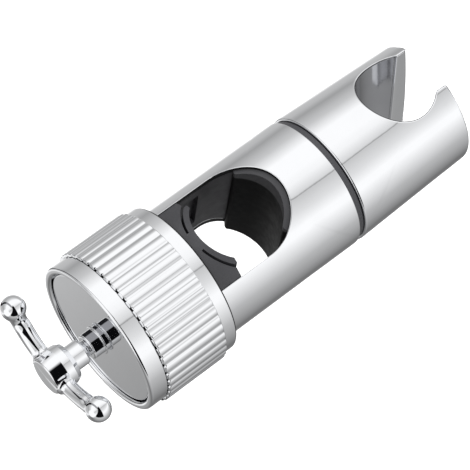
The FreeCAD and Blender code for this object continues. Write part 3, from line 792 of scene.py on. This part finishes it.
@dataclass
class FlutedKnob:
    """The clamping knob: smooth bands at its ends and ribs between them."""

    front: float = -44.15
    rear: float = -16.8
    web_front: float = -41.25
    web_back: float = -38.85
    shoulder: float = -33.45
    flute_front: float = -39.1
    flute_rear: float = -20.95
    band_radius: float = 21.2
    root_radius: float = 21.55
    rim_radius: float = 19.2
    bore: float = 19.0
    hub_bore: float = 4.8
    cavity: float = 17.8
    groove: float = 0.4
    groove_radius: float = 20.75
    rim_round: float = 0.7
    bore_round: float = 0.3
    band_round: float = 0.15
    segments: int = 288
    rib_top: float = 22.05
    rib_crown: float = 2.4
    rib_flank_degrees: float = 26.7
    rib_hollow: float = 0.9
    rib_base: float = 21.3
    rib_ends: float = 0.4
    rib_count: int = 48
    first_rib_degrees: float = 3.28
    # The rib's crest reaches over the groove, and the groove's floor shows at the hollows
    crest_half: float = 1.05
    crest_blend: float = 0.2
    rear_overlap: float = 0.3
    crown_steps: int = 12
    hollow_steps: int = 8
    end_steps: int = 6
    # How far the painted black reaches round the rear edge, as a painted shadow line, and up the
    # groove's walls, as painted shade in the groove
    shadow_rim: float = 0.45
    shadow_rim_radius: float = 21.16
    shade_groove_radius: float = 21.0
    face_margin: float = 0.02

    def shell(self) -> bpy.types.Object:
        """Turns the knob's body without its ribs.

        Returns:
            The body.
        """
        groove_rear = self.flute_front + self.groove
        corners = [
            (self.front, self.rim_radius, self.rim_round),
            (self.web_front, self.rim_radius),
            (self.web_front, self.hub_bore),
            (self.web_back, self.hub_bore),
            (self.web_back, self.cavity),
            (self.shoulder, self.cavity),
            (self.shoulder, self.bore),
            (self.rear, self.bore, self.bore_round),
            (self.rear, self.band_radius, self.rim_round),
            (self.flute_rear, self.band_radius, self.band_round),
            (self.flute_rear, self.root_radius),
            (groove_rear, self.root_radius),
            (groove_rear, self.groove_radius),
            (self.flute_front, self.groove_radius),
            (self.flute_front, self.band_radius, self.band_round),
            (self.front, self.band_radius, self.rim_round),
        ]
        return lathe("knob_shell_skin", rounded(corners), self.segments)

    def wave(self) -> Profile:
        """Draws a rib's section: a round crown that runs into a hollow on either side.

        Returns:
            (side, height) points from the middle of one hollow to the middle of the next.
        """
        flank = math.radians(self.rib_flank_degrees)
        half_pitch = math.pi / self.rib_count
        half = []
        for step in range(self.crown_steps + 1):
            angle = flank * step / self.crown_steps
            half.append((self.rib_crown * math.sin(angle),
                         self.rib_top - self.rib_crown * (1 - math.cos(angle))))
        side, top = half[-1]
        for step in range(1, self.hollow_steps + 1):
            angle = flank + (half_pitch - flank) * step / self.hollow_steps
            half.append((side + self.rib_hollow * (math.sin(flank) - math.sin(angle)),
                         top - self.rib_hollow * (math.cos(angle) - math.cos(flank))))
        return [(-side, top) for side, top in reversed(half[1:])] + half

    def rib_row(self, share: float, at_front: bool) -> list[Vector]:
        """Lays out the closed section of a rib near one of its rounded ends.

        Args:
            share: how far along the rounded end, from 0 at its tip to 1.
            at_front: whether it is the front end, or else the rear one.

        Returns:
            The section's points, of which the last is the first.
        """
        rise = math.sqrt(1 - (1 - share) ** 2)
        row = []
        for side, top in self.wave():
            if at_front:
                crest = min(1.0, max(0.0, (self.crest_half - abs(side)) / self.crest_blend))
                x = self.flute_front + self.groove * (1 - crest) + self.rib_ends * share
            else:
                x = self.flute_rear + self.rear_overlap - self.rib_ends * share
            row.append(Vector((x, side, self.rib_base + (top - self.rib_base) * rise)))
        under = [Vector((spot.x, spot.y, self.rib_base)) for spot in reversed(row)]
        return row + under + row[:1]

    def rib(self) -> bpy.types.Object:
        """Builds one rib on top of the knob, closed below and rounded at both ends.

        Returns:
            The rib.
        """
        shares = [step / self.end_steps for step in range(self.end_steps + 1)]
        maker = MeshMaker()
        maker.grid([self.rib_row(share, True) for share in shares]
                   + [self.rib_row(share, False) for share in reversed(shares)])
        return maker.piece("knob_rib_pattern")

    def rib_tree(self) -> tuple[bpy.types.NodeTree, dict[str, str]]:
        """Builds the Geometry Nodes that set a rib round the knob many times.

        Returns:
            The tree, and the identifier of each of its named inputs.
        """
        tree = bpy.data.node_groups.new("ribs_round_knob", "GeometryNodeTree")
        tree.is_modifier = True
        identifiers = {}
        for name, kind in (("Geometry", "Geometry"), ("Rib", "Object"), ("Rib Count", "Int"),
                           ("First Rib", "Float"), ("Finish", "Material")):
            socket = tree.interface.new_socket(name, in_out="INPUT", socket_type="NodeSocket" + kind)
            identifiers[name] = socket.identifier
        tree.interface.new_socket("Geometry", in_out="OUTPUT", socket_type="NodeSocketGeometry")
        source = add_node(tree, "NodeGroupInput")
        points = add_node(tree, "GeometryNodePoints", inputs={"Count": source.outputs["Rib Count"]})
        pattern = add_node(tree, "GeometryNodeObjectInfo", inputs={"Object": source.outputs["Rib"]})
        index = add_node(tree, "GeometryNodeInputIndex")
        share = add_node(tree, "ShaderNodeMath", {"operation": "DIVIDE"},
                         {0: index.outputs["Index"], 1: source.outputs["Rib Count"]})
        angle = add_node(tree, "ShaderNodeMath", {"operation": "MULTIPLY_ADD"},
                         {0: share.outputs[0], 1: 2 * math.pi, 2: source.outputs["First Rib"]})
        turn = add_node(tree, "ShaderNodeCombineXYZ", inputs={"X": angle.outputs[0]})
        ribs = add_node(tree, "GeometryNodeInstanceOnPoints", inputs={
            "Points": points.outputs[0], "Instance": pattern.outputs["Geometry"],
            "Rotation": turn.outputs["Vector"]})
        joined = add_node(tree, "GeometryNodeJoinGeometry",
                          inputs={"Geometry": ribs.outputs["Instances"]})
        tree.links.new(source.outputs["Geometry"], joined.inputs["Geometry"])
        real = add_node(tree, "GeometryNodeRealizeInstances",
                        inputs={"Geometry": joined.outputs["Geometry"]})
        dressed = add_node(tree, "GeometryNodeSetMaterial", inputs={
            "Geometry": real.outputs["Geometry"], "Material": source.outputs["Finish"]})
        add_node(tree, "NodeGroupOutput", inputs={"Geometry": dressed.outputs["Geometry"]})
        return tree, identifiers

    def build(self, material: bpy.types.Material) -> bpy.types.Object:
        """Builds the body and sets the ribs round it.

        Args:
            material: the finish that the tree gives to the knob.

        Returns:
            The knob as one plain mesh.
        """
        knob = self.shell()
        rib = self.rib()
        modifier = knob.modifiers.new("ribs", "NODES")
        modifier.node_group, identifiers = self.rib_tree()
        modifier[identifiers["Rib"]] = rib
        modifier[identifiers["Rib Count"]] = self.rib_count
        modifier[identifiers["First Rib"]] = math.radians(self.first_rib_degrees)
        modifier[identifiers["Finish"]] = material
        keep_evaluated(knob)
        bpy.data.objects.remove(rib)
        return knob

    def bare_and_shade_faces(self, knob: bpy.types.Object) -> list[int]:
        """Finds the faces that the plating doesn't reach, and those painted black as shade.

        Args:
            knob: the finished knob.

        Returns:
            The numbers of the faces of the bore behind the nut, which is unplated, and of the rear
            edge and the groove, which are painted shadow.
        """
        bore_edge = self.bore + self.bore_round
        groove_rear = self.flute_front + self.groove
        return (
            faces_between(knob, (self.shoulder, math.inf), (self.cavity, bore_edge))
            + faces_between(knob, (self.rear - self.shadow_rim, math.inf),
                            (bore_edge, self.shadow_rim_radius))
            + faces_between(knob, (self.flute_front - self.face_margin,
                                   groove_rear + self.face_margin),
                            (self.groove_radius - self.face_margin, self.shade_groove_radius))
        )


@dataclass
class CoverDisc:
    """The flat plate in the knob's front."""

    front: float = -43.35
    back: float = -41.95
    radius: float = 18.75
    bore: float = 2.0
    edge_round: float = 0.25
    segments: int = 192

    def build(self) -> bpy.types.Object:
        """Turns the plate with a small rounded edge.

        Returns:
            The plate.
        """
        corners = [
            (self.front, self.bore),
            (self.back, self.bore),
            (self.back, self.radius),
            (self.front, self.radius, self.edge_round),
        ]
        return lathe("cover_disc_plate", rounded(corners), self.segments)


@dataclass
class HookPost:
    """The turned post between the cover disc and the hook: foot, barrel, groove and neck."""

    start: float = CoverDisc.front
    foot: float = 1.05
    foot_lip: float = 0.4
    foot_radius: float = 4.1
    foot_round: float = 0.18
    foot_fillet: float = 0.1
    barrel: float = 3.2
    barrel_radius: float = 3.45
    waist: float = 1.35
    waist_radius: float = 2.1
    waist_edge: float = 0.45
    waist_fillet: float = 0.12
    neck: float = 4.1
    neck_radius: float = 3.45
    tenon_radius: float = 2.0
    tenon: float = 1.0
    guard: float = 0.06
    segments: int = 96

    def build(self) -> bpy.types.Object:
        """Turns the post's outside from the disc to inside the hook's hub.

        Returns:
            The post.
        """
        foot_front = self.start - self.foot
        lip_back = foot_front + self.foot_lip
        waist_back = foot_front - self.barrel
        neck_back = waist_back - self.waist
        end = neck_back - self.neck - self.tenon
        corners = [
            (self.start, self.tenon_radius),
            (self.start, self.barrel_radius),
            (lip_back, self.barrel_radius, self.foot_fillet),
            (lip_back, self.foot_radius, self.foot_round),
            (foot_front, self.foot_radius, self.foot_round),
            (foot_front, self.barrel_radius, self.foot_fillet),
            (waist_back, self.barrel_radius, self.waist_edge),
            (waist_back, self.waist_radius, self.waist_fillet),
            (neck_back, self.waist_radius, self.waist_fillet),
            (neck_back, self.neck_radius, self.waist_edge),
            (end, self.neck_radius),
            (end, self.tenon_radius),
        ]
        return lathe("hook_post_turned", rounded(corners, self.guard), self.segments)


@dataclass
class DoubleHook:
    """The cast hook: a hub and two arms that rise to balls."""

    hub_back: float = -53.05
    hub_face: float = -60.45
    collar: float = 1.3
    collar_radius: float = 4.9
    collar_round: float = 0.12
    hub_radius: float = 5.55
    hub_round: float = 0.25
    belly: float = 2.0
    belly_radius: float = 5.72
    belly_round: float = 1.6
    face_radius: float = 4.95
    face_round: float = 0.45
    guard: float = 0.06
    hub_segments: int = 128
    arm_x: float = -57.65
    bend_radius: float = 20.5
    half_angle: float = 54.0
    root_radius: float = 2.0
    tip_radius: float = 2.3
    # The throat is the slight narrowing before the ball, the flare the widening at the hub
    throat: float = 0.12
    throat_gap: float = 0.6
    throat_length: float = 0.9
    flare: float = 0.9
    flare_length: float = 0.45
    hub_side: float = 5.1
    # The arm runs straight into the ball over its last stretch
    straight: float = 6.0
    straight_blend: float = 2.5
    ball_radius: float = 3.29
    ball_blend: float = 0.7
    roll: float = 1.2
    arm_steps: int = 60
    ball_steps: int = 24
    arm_segments: int = 48

    def hub(self) -> Profile:
        """Draws the hub's profile.

        Returns:
            Its points, from the axis at the post's side to the axis at its flat face.
        """
        collar_end = self.hub_back - self.collar
        corners = [
            (self.hub_back, 0.0),
            (self.hub_back, self.collar_radius, self.collar_round),
            (collar_end, self.hub_radius, self.hub_round),
            (collar_end - self.belly, self.belly_radius, self.belly_round),
            (self.hub_face, self.face_radius, self.face_round),
            (self.hub_face, 0.0),
        ]
        return rounded(corners, self.guard)

    def arc_point(self, side: int, bend: float) -> Vector:
        """A point of the arm's bent centre line."""
        return Vector((self.arm_x, side * self.bend_radius * math.sin(bend),
                       self.bend_radius * (1 - math.cos(bend))))

    def arm_radius(self, station: float, length: float) -> float:
        """The arm's radius: a flare at the hub, a slight throat, and a soft run into the ball.

        Args:
            station: the distance from the hub's middle along the arm.
            length: the distance from the hub's middle to the ball's.

        Returns:
            The radius there.
        """
        ball = math.sqrt(max(0.0, self.ball_radius ** 2 - (station - length) ** 2))
        if station > length:
            return ball
        to_throat = station - length + self.ball_radius + self.throat_gap
        plain = self.root_radius + (self.tip_radius - self.root_radius) * station / length
        plain += self.flare * math.exp(-max(0.0, station - self.hub_side) / self.flare_length)
        plain -= self.throat * math.exp(-(to_throat / self.throat_length) ** 2)
        overlap = max(0.0, 1 - abs(plain - ball) / self.ball_blend)
        return max(plain, ball) + self.ball_blend * overlap ** 2 / 4

    def arm_rings(self, side: int) -> Rows:
        """Lays out one arm and its ball.

        Args:
            side: 1 for the arm towards +Y, -1 for the other.

        Returns:
            Rings from inside the hub to the ball's far pole.
        """
        whole = math.radians(self.half_angle)
        length = self.bend_radius * whole
        tip = self.arc_point(side, whole)
        along = Vector((0.0, side * math.cos(whole), math.sin(whole)))
        across = Vector((1.0, 0.0, 0.0))
        stations = [length * step / self.arm_steps for step in range(self.arm_steps + 1)]
        stations += [length + self.ball_radius * math.sin(math.pi / 2 * step / self.ball_steps)
                     for step in range(1, self.ball_steps + 1)]
        rings = []
        for station in stations:
            to_ball = station - length
            bend = min(station, length) / self.bend_radius
            share = min(1.0, max(0.0, (to_ball + self.straight) / self.straight_blend))
            share = share * share * (3 - 2 * share)
            centre = self.arc_point(side, bend).lerp(tip + along * to_ball, share)
            radius = self.arm_radius(station, length)
            up = Vector((0.0, side * math.cos(bend), math.sin(bend))).cross(across)
            rings.append([centre + across * radius * math.cos(angle) + up * radius * math.sin(angle)
                          for angle in full_turn(self.arm_segments)])
        return rings

    def build(self) -> bpy.types.Object:
        """Builds the hub, the arms and the balls as one piece.

        Returns:
            The hook.
        """
        maker = MeshMaker()
        maker.grid(turned(self.hub(), self.hub_segments))
        for side in (1, -1):
            maker.grid(self.arm_rings(side))
        maker.roll(self.roll)
        return maker.piece("double_hook_cast")


@dataclass
class FrictionRing:
    """The dark ring that shows in the swivel's gap."""

    left: float = ChromedSleeve.right
    right: float = 28.0
    radius: float = 17.9
    bore: float = 9.15
    edge_round: float = 0.3
    segments: int = 192

    def build(self) -> bpy.types.Object:
        """Turns the ring with rounded outer edges.

        Returns:
            The ring.
        """
        corners = [
            (self.left, self.bore),
            (self.right, self.bore),
            (self.right, self.radius, self.edge_round),
            (self.left, self.radius, self.edge_round),
        ]
        return lathe("friction_ring_turned", rounded(corners), self.segments)


class Measure(Enum):
    """What bounds a patch of the light tent. Each is an angle in degrees."""

    TURN = "round the body's axis, from straight up towards +Y"
    LEAN = "towards the handset holder"
    OVER_FOOT = "above the dark card's foot"
    OFF_LINE = "away from the strips' line"


@dataclass(frozen=True)
class Patch:
    """A patch of one colour in the light tent.

    Each edge gives a measure, the angle at which the patch ends, and the angle from which it is full.
    """

    colour: str
    edges: tuple[tuple[Measure, float, float], ...]

    def lay(self, tree: bpy.types.NodeTree, measures: dict[Measure, bpy.types.NodeSocket],
            under: bpy.types.NodeSocket) -> bpy.types.NodeSocket:
        """Lays the patch over what is there.

        Args:
            tree: the world's tree.
            measures: the output socket of each measure.
            under: the colour that the patch covers.

        Returns:
            The colour with the patch.
        """
        cover: float | bpy.types.NodeSocket = 1.0
        for measure, outside, inside in self.edges:
            edge = add_node(tree, "ShaderNodeMapRange", {"interpolation_type": "SMOOTHSTEP"}, {
                "Value": measures[measure], "From Min": outside, "From Max": inside})
            both = add_node(tree, "ShaderNodeMath", {"operation": "MULTIPLY"},
                            {0: cover, 1: edge.outputs["Result"]})
            cover = both.outputs[0]
        mixed = add_node(tree, "ShaderNodeMix", {"data_type": "RGBA"},
                         {"Factor": cover, "A": under, "B": linear(self.colour)})
        return mixed.outputs["Result"]


@dataclass
class Studio:
    """The pale floor, the soft light and the camera at the photograph's viewing angle."""

    floor_height: float = -0.15
    floor_half: float = 3.0
    camera_place: tuple[float, float, float] = (-0.21637, -0.18332, 0.58479)
    camera_degrees: tuple[float, float, float] = (25.6055, -4.6844, -40.0510)
    lens: float = 197.17
    sensor_width: float = 36.0
    clip: Span = (0.01, 20.0)
    gain: float = 1.12
    # The greys of the light tent, by the angle round the body's axis from straight up towards +Y: the
    # wall that rises to the left soft box, the box and its falling side, the thin dark joint, the wide
    # soft box above, the wall on the right, and the strip lamp behind it
    surround: tuple[tuple[float, str], ...] = (
        (-180, "#787878"), (-165, "#707070"), (-115, "#B8B8B8"),
        (-72, "#FFFFFF"), (-62, "#FFFFFF"), (-42, "#E0E0E0"), (-21, "#C8C8C8"),
        (-19.5, "#909090"), (-18, "#D8D8D8"),
        (0, "#F8F8F8"), (14, "#FFFFFF"), (44, "#FFFFFF"),
        (70, "#C8C8C8"), (100, "#A0A0A0"), (115, "#B8B8B8"), (136, "#C0C0C0"),
        (151, "#F8F8F8"), (164, "#989898"), (172, "#808080"),
    )
    # Over a span of turns, the dark card's foot and the strips' line go from one lean to another
    foot_turns: Span = (-70.0, -18.0)
    foot_leans: Span = (-56.0, -22.0)
    line_turns: Span = (112.0, 152.0)
    line_leans: Span = (-19.5, 5.0)
    # The white end, the dark card by the camera, and the grey and the dark strip
    patches: tuple[Patch, ...] = (
        Patch("#FFFFFF", ((Measure.LEAN, -58.0, -68.0),)),
        Patch("#0B0B0D", ((Measure.TURN, -107.0, -97.0), (Measure.TURN, 10.0, -8.0),
                          (Measure.OVER_FOOT, -2.0, 2.0), (Measure.LEAN, -1.0, -3.0))),
        Patch("#98989B", ((Measure.OFF_LINE, 9.0, 5.0), (Measure.TURN, -6.0, 2.0),
                          (Measure.TURN, 80.0, 70.0))),
        Patch("#1C1C1F", ((Measure.OFF_LINE, 8.0, 4.0), (Measure.TURN, 62.0, 74.0),
                          (Measure.TURN, 150.0, 140.0))),
    )
    # The name, the turn in radians and the strength of each sun
    suns: tuple[tuple[str, tuple[float, float, float], float], ...] = (
        ("key", (0.35, -0.25, 0.0), 2.2),
        ("fill", (-0.5, 0.4, 0.0), 1.4),
    )
    sun_degrees: float = 50.0

    def build(self) -> None:
        """Makes the camera, the surround, the light and the floor."""
        self.camera()
        self.world()
        self.light()
        self.floor()

    def camera(self) -> None:
        """Puts the camera where the photograph was taken."""
        data = bpy.data.cameras.new("camera")
        data.lens = self.lens
        data.sensor_width = self.sensor_width
        data.clip_start, data.clip_end = self.clip
        camera = bpy.data.objects.new("camera", data)
        camera.location = self.camera_place
        camera.rotation_euler = Euler([math.radians(angle) for angle in self.camera_degrees], "XYZ")
        bpy.context.scene.collection.objects.link(camera)
        bpy.context.scene.camera = camera
        bpy.context.scene.view_settings.view_transform = "Standard"

    def measures(self, tree: bpy.types.NodeTree) -> dict[Measure, bpy.types.NodeSocket]:
        """Works out where in the light tent a direction points.

        Args:
            tree: the world's tree.

        Returns:
            The output socket of each measure.
        """
        way = add_node(tree, "ShaderNodeTexCoord").outputs["Generated"]
        parts = add_node(tree, "ShaderNodeSeparateXYZ", inputs={"Vector": way}).outputs
        turn_angle = add_node(tree, "ShaderNodeMath", {"operation": "ARCTAN2"},
                              {0: parts["Y"], 1: parts["Z"]})
        turn = add_node(tree, "ShaderNodeMath", {"operation": "DEGREES"}, {0: turn_angle.outputs[0]})
        lean_angle = add_node(tree, "ShaderNodeMath", {"operation": "ARCSINE"}, {0: parts["X"]})
        lean = add_node(tree, "ShaderNodeMath", {"operation": "DEGREES"}, {0: lean_angle.outputs[0]})
        foot = add_node(tree, "ShaderNodeMapRange", inputs={
            "Value": turn.outputs[0],
            "From Min": self.foot_turns[0], "From Max": self.foot_turns[1],
            "To Min": self.foot_leans[0], "To Max": self.foot_leans[1]})
        over_foot = add_node(tree, "ShaderNodeMath", {"operation": "SUBTRACT"},
                             {0: lean.outputs[0], 1: foot.outputs["Result"]})
        line = add_node(tree, "ShaderNodeMapRange", {"interpolation_type": "SMOOTHSTEP"}, {
            "Value": turn.outputs[0],
            "From Min": self.line_turns[0], "From Max": self.line_turns[1],
            "To Min": self.line_leans[0], "To Max": self.line_leans[1]})
        over_line = add_node(tree, "ShaderNodeMath", {"operation": "SUBTRACT"},
                             {0: lean.outputs[0], 1: line.outputs["Result"]})
        off_line = add_node(tree, "ShaderNodeMath", {"operation": "ABSOLUTE"},
                            {0: over_line.outputs[0]})
        return {
            Measure.TURN: turn.outputs[0],
            Measure.LEAN: lean.outputs[0],
            Measure.OVER_FOOT: over_foot.outputs[0],
            Measure.OFF_LINE: off_line.outputs[0],
        }

    def world(self) -> None:
        """Builds the light tent: a surround that varies round the body's axis, and its patches."""
        world = bpy.data.worlds.new("light_tent")
        bpy.context.scene.world = world
        world.use_nodes = True
        tree = world.node_tree
        tree.nodes.clear()
        measures = self.measures(tree)
        share = add_node(tree, "ShaderNodeMath", {"operation": "MULTIPLY_ADD"},
                         {0: measures[Measure.TURN], 1: 1 / 360, 2: 0.5})
        ramp = add_node(tree, "ShaderNodeValToRGB", inputs={"Fac": share.outputs[0]})
        set_stops(ramp.color_ramp, [(angle / 360 + 0.5, colour) for angle, colour in self.surround])
        colour = ramp.outputs["Color"]
        for patch in self.patches:
            colour = patch.lay(tree, measures, colour)
        back = add_node(tree, "ShaderNodeBackground", inputs={"Color": colour, "Strength": self.gain})
        add_node(tree, "ShaderNodeOutputWorld", inputs={"Surface": back.outputs["Background"]})

    def light(self) -> None:
        """Adds soft overhead light for the floor and the plastics, which the chrome doesn't mirror."""
        for name, turn, strength in self.suns:
            data = bpy.data.lights.new(name, "SUN")
            data.energy = strength
            data.angle = math.radians(self.sun_degrees)
            lamp = bpy.data.objects.new(name, data)
            lamp.rotation_euler = turn
            lamp.visible_glossy = False
            bpy.context.scene.collection.objects.link(lamp)

    def floor(self) -> None:
        """Lays the plain pale floor, which the chrome doesn't mirror."""
        half = self.floor_half
        mesh = bpy.data.meshes.new("floor")
        corners = [(-half, -half), (half, -half), (half, half), (-half, half)]
        mesh.from_pydata([(x, y, self.floor_height) for x, y in corners], [], [(0, 1, 2, 3)])
        mesh.materials.append(WHITE_PAINT.build())
        floor = bpy.data.objects.new("floor", mesh)
        floor.visible_glossy = False
        bpy.context.scene.collection.objects.link(floor)


@dataclass
class Assembly:
    """The whole holder: which pieces are rebuilt and which nodes keep their shape."""

    dresser: Dresser
    kept: dict[str, Finish] = field(default_factory=lambda: {
        "body_core": MOULDED_NYLON,
        "rail_seat": SEAT_RUBBER,
        "clamp_jaw": MOULDED_NYLON,
        "knob_nut": MOULDED_NYLON,
        "swivel_seal": SEAL_RUBBER,
        "swivel_washer": TURNED_STEEL,
        "swivel_spring_washer": TURNED_STEEL,
        "swivel_screw": TURNED_STEEL,
        "spindle_screw": TURNED_STEEL,
        "post_lock_washer": TURNED_STEEL,
        "holder_insert": TURNED_BRASS,
        "spindle_bush": TURNED_BRASS,
        "thrust_washer": WHITE_ACETAL,
        "front_thrust_washer": WHITE_ACETAL,
    })

    def build(self) -> None:
        """Builds, dresses and places every piece."""
        dresser = self.dresser
        sleeve = ChromedSleeve()
        skin = sleeve.build()
        dresser.place(skin, CHROME_PLATE, "bracket", Slot.CHROME, ["body_sleeve"])
        # The sleeve's cut edge is painted black: painted shadow in the gap at the hole.
        dresser.dress_faces(skin, BARE_ABS_AND_SHADE, sleeve.cut_edge(skin))
        dresser.place(FrictionRing().build(), TURNED_ACETAL, "bracket", Slot.DARK_PLASTIC,
                      ["friction_ring"])
        holder = HandsetHolder()
        shell = holder.build()
        dresser.place(shell, CHROME_PLATE, "holder", Slot.CHROME, ["handset_holder"])
        # The socket's wall gets duller chrome, painted darker as shade in the socket.
        dresser.dress_faces(shell, THIN_CHROME_AND_SHADE, holder.socket_wall(shell))
        knob = FlutedKnob()
        grip = knob.build(dresser.material(CHROME_PLATE))
        dresser.place(grip, CHROME_PLATE, "knob", Slot.CHROME, ["knob_shell"])
        # The knob's hidden bore is unplated; its rear edge and groove are painted black as shadow and
        # shade.
        dresser.dress_faces(grip, BARE_ABS_AND_SHADE, knob.bare_and_shade_faces(grip))
        dresser.place(CoverDisc().build(), CHROME_PLATE, "clamp", Slot.CHROME, ["cover_disc"])
        dresser.place(HookPost().build(), CAST_CHROME, "clamp", Slot.CHROME, ["hook_post"])
        dresser.place(DoubleHook().build(), CAST_CHROME, "clamp", Slot.CHROME, ["double_hook"])
        for node, finish in self.kept.items():
            dresser.dress_node(node, finish)


def main() -> None:
    """Loads the frame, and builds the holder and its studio."""
    logging.basicConfig(level=logging.INFO, format="%(name)s: %(message)s")
    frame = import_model()
    Assembly(Dresser(frame["nodes"])).build()
    Studio().build()


if __name__ == "__main__":
    main()
